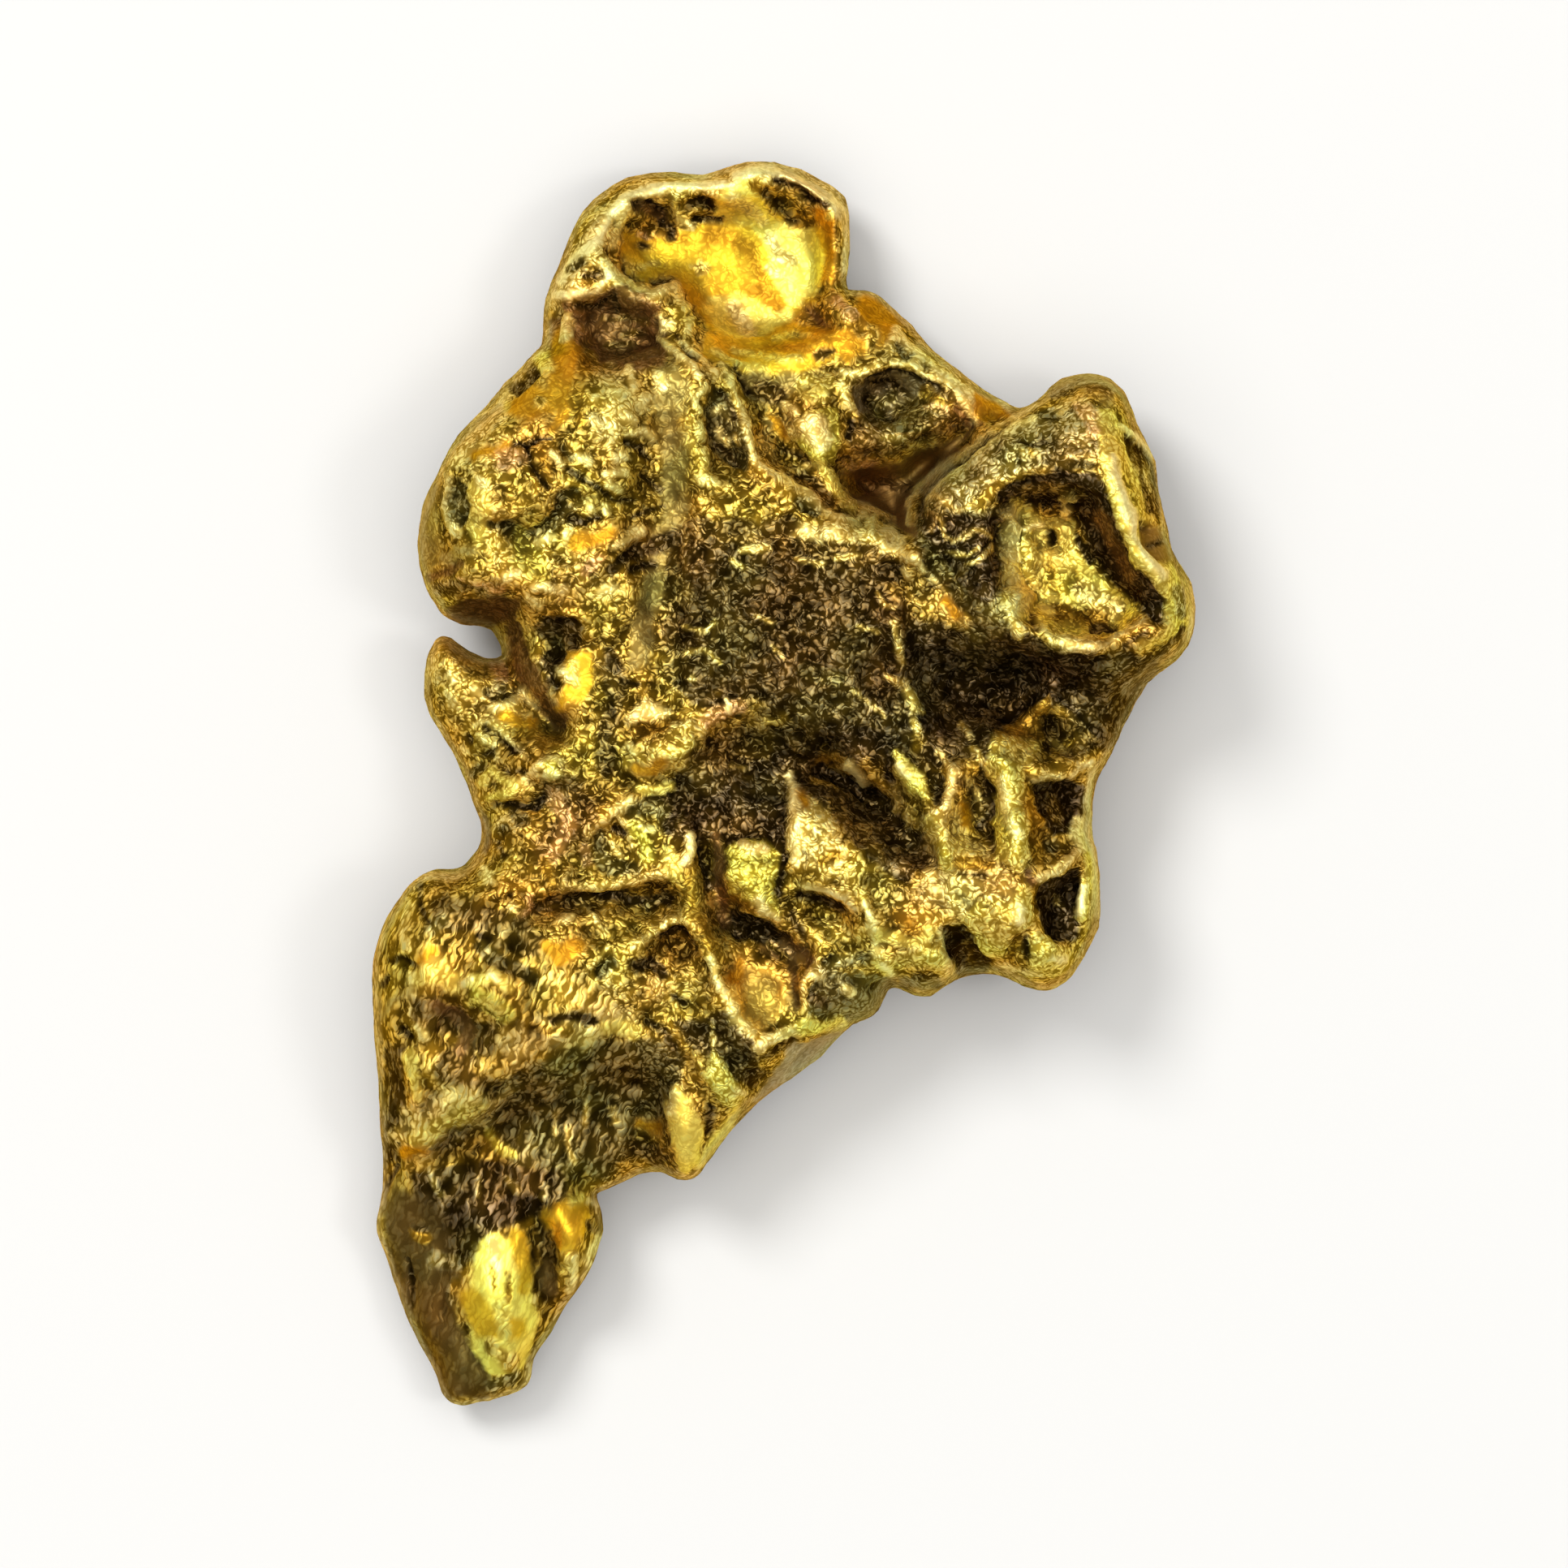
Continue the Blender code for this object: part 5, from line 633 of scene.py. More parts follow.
LOWER_RIGHT = [
    # Between the groove and the column.
    ("straw", 0.10, 0.0, [(2.65, -0.7), (3.0, -0.45), (3.3, -0.5), (3.5, -1.1), (4.1, -1.6), (4.5, -2.2),
        (3.5, -2.4), (2.6, -2.2), (2.9, -1.4), (2.65, -0.7)]),
    ("sun", 0.15, 0.05, [(2.8, -0.7), (2.95, -1.15), (3.1, -1.5)]),
    ("brown", 0.12, -0.02, [(3.3, 0.1), (3.6, -0.1), (3.8, -0.6), (4.05, -1.2)]),
    ("cream", 0.10, 0.07, [(3.25, 0.3), (3.2, 0.0), (3.1, -0.4)]),
    ("cream", 0.05, 0.05, [(3.45, 0.15), (3.6, -0.1), (3.75, -0.3)]),
    ("straw", 0.05, 0.05, [(2.95, 0.6), (3.1, 0.4)]),
    ("straw", 0.05, 0.05, [(3.6, 0.7), (3.8, 0.45), (3.9, 0.15)]),
    ("black", 0.09, -0.06, [(3.95, -0.1), (3.98, -0.5), (3.75, -0.8)]),
    ("orange", 0.10, 0.0, [(3.45, -0.45), (3.5, -0.75)]),
    ("umber", 0.10, -0.04, [(2.95, 0.1), (2.9, -0.35)]),
    ("amber", 0.14, 0.0, [(3.3, -1.5), (3.9, -1.55)]),
    ("brown", 0.09, -0.03, [(3.4, -1.75), (3.8, -1.75)]),
    # The column and the tent at its head.
    ("sun", 0.08, 0.04, [(4.0, 0.85), (4.45, 0.95), (4.8, 0.7), (4.5, 0.1), (4.5, -0.6), (4.65, -1.2),
        (4.5, -1.6), (4.15, -1.4), (4.1, -0.6), (4.1, 0.0), (3.95, 0.4), (4.0, 0.85)]),
    ("cream", 0.08, 0.03, [(4.2, 0.1), (4.25, -0.5), (4.45, -1.0)]),
    ("amber", 0.08, 0.0, [(4.6, 0.3), (4.85, -0.2), (4.9, -0.7), (5.0, -1.1), (4.85, -1.5), (4.72, -1.1),
        (4.62, -0.4), (4.6, 0.3)]),
    ("amber", 0.08, 0.0, [(4.1, 0.95), (4.5, 1.3), (5.0, 1.6), (5.05, 1.3), (4.85, 0.85), (4.5, 0.95),
        (4.1, 0.95)]),
    ("brown", 0.07, -0.03, [(5.0, 1.25), (5.5, 1.15), (6.0, 0.8), (5.6, 0.5), (5.05, 0.65), (5.0, 1.25)]),
    ("amber", 0.10, 0.0, [(5.2, 0.6), (5.5, 0.8)]),
    ("black", 0.07, -0.05, [(4.2, 1.25), (4.6, 1.5), (5.0, 1.75), (5.5, 1.45), (6.1, 0.9)]),
    ("cream", 0.06, 0.06, [(4.75, 0.1), (5.0, 0.18), (5.3, 0.17)]),
    ("facet", 0.05, 0.06, [(5.45, 0.15), (5.65, 0.35), (5.9, 0.42)]),
    ("straw", 0.04, 0.04, [(5.1, 0.85), (5.4, 0.6)]),
    # The two hollows, the bridge between them and the strip along the edge.
    ("black", 0.09, -0.05, [(4.85, -0.05), (5.3, -0.02), (5.7, -0.1), (5.7, -0.5), (5.45, -0.85),
        (5.2, -0.85), (4.95, -0.5), (4.85, -0.05)]),
    ("brown", 0.12, 0.02, [(5.15, -0.3), (5.2, -0.6)]),
    ("cream", 0.08, 0.04, [(5.88, 0.35), (5.86, 0.0), (5.83, -0.4), (5.88, -0.7)]),
    ("cream", 0.08, 0.03, [(5.6, -0.7), (5.9, -0.75), (5.95, -1.2), (5.7, -1.25), (5.55, -1.0),
        (5.6, -0.7)]),
    ("olive", 0.14, 0.02, [(5.1, -1.2)]),
    ("cream", 0.07, 0.06, [(4.75, -1.85), (5.2, -1.65), (5.6, -1.3)]),
    ("amber", 0.10, 0.0, [(4.75, -1.9), (4.75, -2.3)]),
    ("maroon", 0.08, -0.03, [(4.62, -1.65), (4.72, -1.9)]),
    ("black", 0.09, -0.04, [(4.95, -1.95), (5.3, -1.8), (5.58, -1.65), (5.55, -2.4), (5.55, -2.9),
        (5.1, -2.85), (4.9, -2.5), (4.95, -1.95)]),
    ("straw", 0.04, 0.04, [(5.2, -2.15), (5.25, -2.3)]),
    ("lemon", 0.10, 0.04, [(5.8, -1.4), (5.75, -2.0), (5.68, -2.5)]),
    ("facet", 0.07, 0.05, [(5.72, -1.95), (5.66, -2.45)]),
    ("cream", 0.08, 0.03, [(5.95, -1.1), (5.95, -1.7), (6.0, -2.5)]),
    # The knobs and the recess along the lower edge.
    ("sun", 0.10, 0.04, [(3.5, -2.6), (3.9, -2.15), (4.3, -2.35), (4.55, -2.05), (4.6, -2.65), (4.25, -2.8),
        (4.1, -3.2), (3.9, -3.2), (3.5, -2.6)]),
    ("facet", 0.09, 0.05, [(4.45, -2.35), (4.45, -2.6)]),
    ("amber", 0.10, -0.03, [(4.45, -2.9), (4.35, -3.3)]),
    ("umber", 0.06, -0.05, [(4.6, -2.95), (4.62, -3.3)]),
    ("sun", 0.09, 0.05, [(4.75, -2.95), (5.0, -3.0), (5.45, -3.3), (5.3, -3.55), (4.7, -3.6), (4.8, -3.3),
        (4.75, -2.95)]),
    ("facet", 0.07, 0.04, [(5.1, -3.3), (5.3, -3.35)]),
    ("cream", 0.06, 0.05, [(4.1, -3.45), (4.5, -3.55), (4.9, -3.6)]),
    ("black", 0.08, -0.05, [(3.05, -2.75), (3.4, -2.85), (3.6, -3.15), (3.9, -3.4), (3.8, -3.6),
        (3.4, -3.65), (3.2, -3.3), (3.05, -2.75)]),
    ("brown", 0.06, 0.0, [(3.45, -3.1), (3.6, -3.4)]),
    ("sun", 0.17, 0.04, [(1.9, -3.45), (2.3, -3.35), (2.8, -3.3), (3.1, -3.5)]),
    ("lemon", 0.16, 0.03, [(1.9, -2.9), (2.4, -3.0), (2.8, -2.8)]),
    ("straw", 0.22, 0.03, [(3.1, -2.1), (3.6, -1.95), (4.1, -2.0)]),
    ("facet", 0.07, 0.04, [(1.9, -3.4), (2.05, -3.6)]),
    ("cream", 0.08, 0.04, [(2.95, -2.8), (3.05, -3.2), (3.15, -3.55)]),
    ("amber", 0.14, 0.0, [(2.1, -2.5), (2.5, -2.8)]),
    ("olive", 0.12, -0.04, [(2.3, -3.8), (2.9, -3.8)]),
]

UNDER_EDGE = [
    ("butter", 0.08, 0.05, [(-0.7, -3.5), (-0.3, -3.6), (0.0, -3.85), (0.05, -4.2), (-0.2, -4.5),
        (-0.5, -4.7), (-0.8, -4.4), (-1.0, -4.0), (-0.7, -3.5)]),
    ("orange", 0.14, 0.0, [(-0.85, -3.4), (-0.95, -3.7)]),
    ("bark", 0.11, -0.04, [(0.15, -3.4), (0.2, -3.8), (0.22, -4.25)]),
    ("cream", 0.06, 0.05, [(-1.4, -3.3), (-1.33, -3.7), (-1.1, -4.1), (-0.95, -4.45), (-0.6, -4.8)]),
    ("straw", 0.045, 0.05, [(0.65, -3.35), (0.42, -3.7), (0.34, -4.05), (0.5, -4.4)]),
    ("slate", 0.06, -0.04, [(0.55, -3.85), (1.0, -3.65), (1.6, -3.65), (2.1, -3.8), (1.9, -4.3),
        (1.4, -4.5), (0.8, -4.5), (0.5, -4.3), (0.55, -3.85)]),
    ("umber", 0.10, -0.05, [(0.55, -4.1), (0.75, -4.2)]),
    ("cream", 0.10, 0.06, [(1.15, -3.9), (1.28, -3.98)]),
    ("sage", 0.12, 0.03, [(0.65, -3.6), (1.0, -3.4), (1.5, -3.3)]),
    ("cream", 0.06, 0.05, [(0.55, -3.65), (0.75, -3.7)]),
    ("cream", 0.10, 0.07, [(-0.5, -5.02), (-0.3, -4.84), (0.0, -4.77), (0.25, -4.69)]),
    ("lemon", 0.13, 0.06, [(0.35, -4.62), (0.8, -4.66), (1.1, -4.62)]),
    ("ash", 0.08, 0.0, [(-0.5, -6.1), (-0.1, -5.5), (0.2, -5.0), (0.7, -4.92), (1.15, -4.8), (0.7, -5.7),
        (0.0, -6.2), (-0.5, -6.1)]),
    ("umber", 0.07, -0.05, [(-0.4, -5.2), (-0.1, -5.02), (0.2, -4.87)]),
    ("umber", 0.12, -0.04, [(-0.7, -5.6), (-0.35, -5.55)]),
    ("gold", 0.06, 0.05, [(-2.2, -4.5), (-1.95, -4.9), (-1.65, -5.25), (-1.5, -5.6)]),
    ("straw", 0.04, 0.04, [(-1.35, -4.55), (-1.37, -5.0)]),
    ("sun", 0.08, 0.07, [(-1.35, -5.15), (-1.2, -5.4), (-1.0, -5.7), (-0.75, -5.9), (-0.9, -6.15),
        (-1.2, -5.95), (-1.4, -5.6), (-1.35, -5.15)]),
    ("cream", 0.07, 0.04, [(-0.98, -5.8), (-0.8, -5.9)]),
    ("glow", 0.11, 0.06, [(-0.95, -6.2), (-1.1, -6.6), (-1.35, -6.95), (-1.6, -7.25)]),
    ("umber", 0.09, -0.05, [(-1.4, -6.2), (-1.45, -6.6)]),
    ("gold", 0.12, 0.0, [(-1.75, -6.2), (-1.65, -6.7)]),
    ("glow", 0.07, 0.07, [(-2.05, -5.8), (-2.15, -6.2), (-2.05, -6.8), (-1.9, -7.4), (-1.7, -7.1),
        (-1.65, -6.6), (-1.85, -6.1), (-2.05, -5.8)]),
    ("cream", 0.06, 0.04, [(-2.08, -5.8), (-2.1, -6.3)]),
    ("orange", 0.13, 0.0, [(-2.8, -6.5), (-2.4, -6.6)]),
    ("brown", 0.22, -0.03, [(-2.8, -6.95), (-2.45, -7.15)]),
]

LEG = [
    ("umber", 0.06, -0.05, [(-6.95, -1.95), (-6.97, -2.3), (-6.78, -2.65)]),
    ("olive", 0.10, -0.03, [(-6.75, -2.8), (-6.5, -2.6)]),
    ("straw", 0.08, 0.04, [(-6.9, -1.75), (-6.4, -1.8), (-6.1, -1.65)]),
    ("cream", 0.08, 0.03, [(-5.75, -1.6), (-5.6, -1.85)]),
    ("straw", 0.08, 0.04, [(-7.15, -2.3), (-7.25, -2.8), (-7.2, -3.15)]),
    ("umber", 0.06, -0.05, [(-7.5, -3.4), (-7.3, -3.3), (-7.05, -3.45)]),
    ("umber", 0.06, -0.07, [(-7.7, -3.85), (-7.58, -3.7)]),
    ("orange", 0.12, 0.0, [(-6.9, -3.4), (-6.7, -3.2)]),
    ("lemon", 0.20, 0.03, [(-6.9, -3.7), (-6.55, -3.6), (-6.3, -3.8)]),
    ("cream", 0.08, 0.05, [(-7.1, -3.65), (-7.1, -4.0), (-7.07, -4.4)]),
    ("satin", 0.06, 0.03, [(-7.7, -4.5), (-7.5, -4.15), (-7.2, -3.98)]),
    ("umber", 0.10, -0.06, [(-7.3, -4.65), (-7.2, -4.8)]),
    ("cream", 0.10, 0.05, [(-6.95, -4.6), (-6.87, -4.85)]),
    ("lemon", 0.11, 0.07, [(-7.12, -5.15), (-7.05, -5.5), (-6.98, -6.0)]),
    ("brown", 0.30, 0.0, [(-6.8, -4.3), (-6.2, -4.6), (-5.7, -4.9), (-6.4, -5.3)]),
    ("maroon", 0.14, 0.0, [(-6.6, -4.2), (-6.3, -4.35), (-6.0, -4.7), (-6.2, -5.1)]),
    ("straw", 0.04, 0.03, [(-5.85, -5.15), (-5.8, -5.35)]),
    ("lemon", 0.14, 0.04, [(-5.95, -3.75), (-5.5, -3.65), (-5.25, -3.85)]),
    ("lime", 0.20, 0.03, [(-5.8, -4.05), (-5.5, -4.2), (-5.3, -4.35)]),
    ("lemon", 0.08, 0.03, [(-5.7, -4.1), (-5.4, -4.3)]),
    ("facet", 0.06, 0.03, [(-5.6, -3.62), (-5.45, -3.75)]),
    ("cream", 0.06, 0.04, [(-6.1, -3.8), (-5.9, -3.7)]),
    ("olive", 0.14, -0.03, [(-5.8, -3.1), (-5.5, -3.35), (-5.1, -3.5), (-4.8, -3.7)]),
    ("black", 0.06, -0.04, [(-5.85, -2.9), (-5.6, -2.95)]),
    ("orange", 0.16, 0.0, [(-4.5, -3.1), (-4.3, -3.3), (-3.9, -3.1)]),
    ("straw", 0.05, 0.05, [(-3.35, -3.1), (-3.6, -3.4), (-3.85, -3.6)]),
    ("umber", 0.09, -0.06, [(-4.4, -4.5), (-3.95, -4.42), (-3.6, -4.55)]),
    ("lemon", 0.16, 0.03, [(-3.35, -4.65), (-2.9, -4.7)]),
    ("gold", 0.10, 0.04, [(-4.85, -4.6), (-4.4, -4.7), (-4.1, -4.7)]),
    ("straw", 0.08, 0.04, [(-5.0, -5.15), (-4.6, -4.97), (-4.3, -4.8)]),
    ("straw", 0.06, 0.04, [(-5.1, -5.3), (-5.3, -5.6)]),
    ("straw", 0.28, 0.05, [(-5.9, -6.05), (-6.4, -6.35), (-7.0, -6.75)]),
    ("sun", 0.16, 0.04, [(-5.9, -6.1), (-6.5, -6.45), (-7.05, -6.8)]),
    ("straw", 0.07, 0.03, [(-7.05, -6.1), (-7.1, -6.5)]),
    ("orange", 0.14, 0.0, [(-7.0, -7.0), (-7.3, -7.1)]),
    ("lime", 0.10, 0.03, [(-5.65, -6.7), (-5.5, -7.0), (-5.2, -7.1)]),
    ("sage", 0.16, 0.02, [(-6.6, -6.9), (-6.2, -6.7)]),
    ("brown", 0.20, 0.0, [(-5.6, -5.75), (-6.4, -5.55)]),
    ("straw", 0.05, 0.04, [(-4.35, -6.3), (-4.4, -6.7)]),
    ("straw", 0.05, 0.04, [(-4.15, -6.6), (-4.15, -7.0), (-4.0, -7.25)]),
    ("straw", 0.05, 0.04, [(-3.8, -6.1), (-3.82, -6.5)]),
    ("straw", 0.05, 0.04, [(-3.3, -6.2), (-3.25, -6.5)]),
    ("olive", 0.14, -0.05, [(-3.3, -3.4), (-3.5, -3.6)]),
    ("straw", 0.05, 0.04, [(-3.3, -3.6), (-3.4, -3.95)]),
    ("straw", 0.05, 0.04, [(-2.4, -3.7), (-2.4, -4.1)]),
    ("umber", 0.07, -0.05, [(-2.1, -4.05), (-1.9, -4.2)]),
    ("umber", 0.08, -0.05, [(-2.6, -4.55), (-2.3, -4.7), (-2.1, -5.0)]),
]

TIP = [
    ("black", 0.06, -0.06, [(-7.72, -7.85), (-7.55, -7.55), (-7.45, -7.35)]),
    ("satin", 0.05, 0.04, [(-7.6, -7.95), (-7.4, -7.6)]),
    ("sage", 0.06, 0.04, [(-6.8, -7.35), (-6.73, -7.65), (-6.6, -7.9)]),
    ("sage", 0.05, 0.04, [(-5.85, -7.6), (-5.9, -7.9)]),
    ("sage", 0.08, 0.03, [(-5.3, -7.6), (-5.15, -7.8)]),
    ("sage", 0.07, 0.05, [(-4.6, -7.7), (-4.62, -7.95)]),
    ("amber", 0.15, 0.03, [(-7.05, -8.7), (-6.95, -8.75)]),
    ("umber", 0.05, -0.05, [(-7.1, -8.57), (-6.9, -8.6)]),
    ("umber", 0.05, -0.06, [(-7.25, -9.2), (-7.22, -9.7), (-7.2, -10.1)]),
    ("sage", 0.16, 0.0, [(-6.7, -9.15), (-6.35, -9.2)]),
    ("sage", 0.13, 0.0, [(-6.25, -9.6), (-6.35, -9.9)]),
    ("olive", 0.12, 0.0, [(-5.95, -9.1), (-5.9, -8.9)]),
    ("gold", 0.16, 0.0, [(-6.2, -9.7), (-6.1, -10.3), (-5.9, -10.7)]),
    ("glow", 0.12, 0.03, [(-5.75, -8.85), (-5.55, -8.72), (-5.3, -8.9), (-5.05, -8.75), (-5.0, -9.4),
        (-4.88, -10.2), (-5.0, -10.8), (-5.15, -11.2), (-5.6, -11.25), (-5.9, -10.8), (-5.95, -10.0),
        (-5.85, -9.4), (-5.75, -8.85)]),
    ("honey", 0.16, 0.0, [(-5.15, -8.7), (-4.98, -9.2), (-5.0, -9.7)]),
    ("honey", 0.25, 0.0, [(-6.0, -9.9), (-5.7, -10.4), (-5.2, -10.5)]),
    ("cream", 0.10, 0.02, [(-5.6, -8.8), (-5.5, -9.3)]),
    ("bright", 0.16, 0.02, [(-5.6, -10.8), (-5.3, -11.1)]),
    ("amber", 0.06, -0.03, [(-5.3, -9.4), (-5.33, -9.9)]),
    ("amber", 0.05, -0.03, [(-5.6, -9.3), (-5.55, -9.7)]),
    ("lemon", 0.10, 0.0, [(-5.45, -10.0), (-5.35, -10.7)]),
    ("brown", 0.20, -0.05, [(-4.7, -8.6), (-4.6, -9.2), (-4.55, -9.8)]),
    ("amber", 0.05, 0.04, [(-4.8, -8.6), (-4.7, -9.3)]),
    ("bark", 0.14, 0.0, [(-4.6, -9.3), (-4.5, -9.7)]),
    ("honey", 0.22, 0.04, [(-4.4, -8.35), (-4.05, -8.15), (-3.95, -8.4), (-4.15, -8.7)]),
    ("orange", 0.10, 0.0, [(-4.3, -8.5), (-4.35, -8.75)]),
    ("brown", 0.07, -0.04, [(-3.8, -8.45), (-3.65, -8.6)]),
    ("cream", 0.06, 0.05, [(-3.8, -8.0), (-3.6, -8.12)]),
    ("lemon", 0.09, 0.03, [(-4.1, -8.0), (-3.9, -7.95)]),
    ("cream", 0.08, 0.06, [(-4.05, -9.1), (-4.05, -9.5), (-4.13, -9.75)]),
    ("cream", 0.06, 0.05, [(-3.82, -9.15), (-3.65, -8.9), (-3.57, -8.75)]),
    ("cream", 0.05, 0.05, [(-3.75, -9.35), (-3.7, -9.25)]),
    ("straw", 0.04, 0.04, [(-4.85, -9.95), (-4.78, -9.85)]),
    ("sage", 0.14, 0.0, [(-5.6, -11.6), (-5.2, -11.45)]),
    ("straw", 0.06, 0.0, [(-4.92, -11.2), (-4.95, -11.5)]),
]

MARKS = (BROAD + TOP_LOBE + ARM + PLATE + RIGHT_LOBE + LEFT_LOBE + FIN + MIDDLE + LOWER_RIGHT
         + UNDER_EDGE + LEG + TIP)

# Rounds of subdivision: each makes four triangles of one.
REFINEMENTS = 2

# Weight of a point's neighbours in one round of smoothing.
SMOOTHING = 0.6

# Noise: how far apart its seeds lie, and the weight of the second where two are laid together.
SEED_STEP = (17.3, 5.9, 11.1)
SECOND_NOISE = 0.6

# Edges of the marks: their softness as a share of the reach, the least and the most of it in
# millimetres, how far they wander as a share of the reach, and the sizes of that wandering.
SOFTNESS = 0.7
CRISPEST = 0.07
SOFTEST = 0.5
EDGE_WANDER = 0.55
WANDER_SIZES = (0.55, 0.2)

# A tilt is how far a surface faces up: 1 on level ground, 0 on an upright wall. Marks begin
# just past upright and are full at LEAST_TILT + TILT_FADE.
LEAST_TILT = -0.1
TILT_FADE = 0.35

# Relief between the marks: size and height of its winding ridges, in millimetres. It dies
# away over REST_DEPTH above the floor. Over RIM_CALM from the rim it falls to the share
# RIM_RELIEF, and the middle ridges fall to SMOOTH_RELIEF where the tone has no grain.
LUMPS = ((0.95, 0.035), (0.45, 0.030), (0.25, 0.022))
REST_DEPTH = 0.35
RIM_CALM = 0.45
RIM_RELIEF = 0.2
SMOOTH_RELIEF = 0.2

# The rim is made of the walls with less tilt than this, up to this height in millimetres.
RIM_TILT = 0.2
RIM_TOP = 3.3

# The painted pale reflection along the rim and the painted shade on the walls below it: widths in
# millimetres, tilts, and how much of the colour each takes over.
RIM_BAND = 0.10
RIM_FADE = 0.10
EDGE_TILT = 0.35
EDGE_TILT_RANGE = 0.45
RIM_PAINTED_REFLECTION = 0.6
WALL_TILT = 0.15
WALL_TILT_RANGE = 0.30
WALL_PAINTED_SHADE = 0.5

# Hollows, near and wide: rounds of smoothing they are measured against, the depth in
# millimetres that counts in full, their weight, and the limits on crests and on hollows.
NEAR_HOLLOWS = (5, 0.026, 0.6, (-1.0, 0.8))
WIDE_HOLLOWS = (160, 0.35, 0.22, (-1.0, 1.0))
# Painted shade in hollows and painted highlights on crests: how much hollow depth darkens the colour, how
# much it takes from the proud share in hollows, as tarnish and painted shade, and how much it adds to that
# share on crests.
HOLLOW_SHADE = 0.45
HOLLOW_TARNISH_AND_SHADE = 0.30
CREST_SHINE = 0.14

# Speckle and drifts of tint: sizes in millimetres, and how strongly they show.
SPECKLE_SIZES = (0.33, 0.7)
SPECKLE_LIGHT = 0.35
SPECKLE_SHARE = 0.28
LIGHT_LIMITS = (0.4, 1.3)
TINT_SIZE = 0.9
RED_DRIFT = 0.10
GREEN_DRIFT = 0.16
BLUE_DRIFT = 0.30
LEAST_SHARE = 0.05
BRIGHTEST = 0.98

# Streaks of the leg: where they lie, how far they reach, and how their grain is drawn out.
STREAKS = [(-6.4, -4.4), (-5.0, -5.6), (-6.0, -7.5), (-5.5, -9.0), (-5.6, -11.5)]
STREAK_REACH = 2.3
STREAK_FADE = 1.5
STREAK_LEAN = math.radians(-20.0)
STREAK_SCALE = (1.15, 0.32, 0.7)

# Grain of the skin: beads, threads and bends to a metre, and in metres how widely the grain
# bends and how high a bead stands.
BEADS = 9800.0
THREADS = 5000.0
BENDS = 4200.0
BEND = 0.00040
STREAK_BEND = 0.00026
BEAD_HEIGHT = 0.000009

# A bead's parts: how far from its middle each begins, and where it is full. Then the same for
# a thread, how gradually beads stand up as the share grows, and how proud threads are.
BEAD_CORE = (0.60, 0.15)
BEAD_BODY = (0.72, 0.42)
BEAD_DOME = (0.75, 0.1)
THREAD_EDGE = (0.07, 0.01)
STANDING_FADE = 0.18
THREAD_SHARE = 0.7

# Metal of the grain: tints and lightness of gaps and beads, the dark gaps being tarnish with painted
# shade, the darker bead edges painted shade and the light bead cores painted highlights; roughness
# and tint of reflections.
GAP_TINT = (1.0, 0.75, 0.22)
GAP_LIGHT = (0.05, 0.30)
BEAD_EDGE_TINT = (0.78, 0.66, 0.45, 1.0)
BEAD_LIGHT = (0.60, 1.20)
GAP_ROUGHNESS = 0.70
METAL_ROUGHNESS = 0.52
GLINT_TINT = (0.80, 0.58, 0.22, 1.0)

# Stage: lengths in metres.
LIGHT_DISTANCE = 0.6
FLOOR_HALF = 1.5
FLOOR_GAP = 0.00002
FLOOR_COLOUR = (0.52, 0.515, 0.50, 1.0)
FLOOR_ROUGHNESS = 0.85
STUDIO_LIGHT = 0.40


def smooth_step(share):
    """0 below 0, 1 above 1, and an even rise between."""
    share = np.clip(share, 0.0, 1.0)
    return share * share * (3.0 - 2.0 * share)


def course_gap(places, course):
    """How far each place is from a course in plan; below zero inside a closed one."""
    course = np.array(course, dtype=float)
    if len(course) == 1:
        return np.linalg.norm(places - course[0], axis=1)
    gap = np.full(len(places), np.inf)
    inside = np.zeros(len(places), dtype=bool)
    for start, end in zip(course[:-1], course[1:]):
        along = end - start
        share = np.clip((places - start) @ along / (along @ along), 0.0, 1.0)
        gap = np.minimum(gap, np.linalg.norm(places - start - share[:, None] * along, axis=1))
        if start[1] != end[1]:
            crossing = start[0] + along[0] * (places[:, 1] - start[1]) / along[1]
            spans = (places[:, 1] > start[1]) != (places[:, 1] > end[1])
            inside ^= spans & (places[:, 0] < crossing)
    closed = len(course) > 3 and np.allclose(course[0], course[-1])
    return np.where(inside, -gap, gap) if closed else gap


def mesh_arrays(mesh):
    """Points in millimetres and triangles of a mesh, with its doubled corners welded."""
    bm = bmesh.new()
    bm.from_mesh(mesh)
    bmesh.ops.remove_doubles(bm, verts=bm.verts, dist=1e-7)
    bmesh.ops.triangulate(bm, faces=bm.faces)
    points = np.array([vert.co for vert in bm.verts]) / MM
    corners = np.array([[vert.index for vert in face.verts] for face in bm.faces])
    bm.free()
    return points, corners


def sum_over(which, values, count):
    """Rows of values added up for each index."""
    return np.column_stack([np.bincount(which, column, count) for column in values.T])


def refine(points, corners):
    """One round of Loop subdivision, with its usual weights: four triangles for each, smoothed."""
    sides = np.concatenate([corners[:, [0, 1]], corners[:, [1, 2]], corners[:, [2, 0]]])
    edges, which = np.unique(np.sort(sides, axis=1), axis=0, return_inverse=True)
    which = which.reshape(-1)
    opposite = np.concatenate([corners[:, 2], corners[:, 0], corners[:, 1]])
    facing = sum_over(which, points[opposite], len(edges))
    middles = 0.375 * (points[edges[:, 0]] + points[edges[:, 1]]) + 0.125 * facing
    around = np.bincount(edges.ravel(), minlength=len(points))
    ring = (sum_over(edges[:, 0], points[edges[:, 1]], len(points))
            + sum_over(edges[:, 1], points[edges[:, 0]], len(points)))
    pull = np.where(around > 3, 3.0 / (8.0 * around), 3.0 / 16.0)
    kept = points * (1.0 - around * pull)[:, None] + ring * pull[:, None]
    count = len(corners)
    ab, bc, ca = (len(points) + which[i * count:(i + 1) * count] for i in range(3))
    a, b, c = corners.T
    trios = ((a, ab, ca), (ab, b, bc), (ca, bc, c), (ab, bc, ca))
    return np.concatenate([kept, middles]), np.concatenate([np.column_stack(trio) for trio in trios])


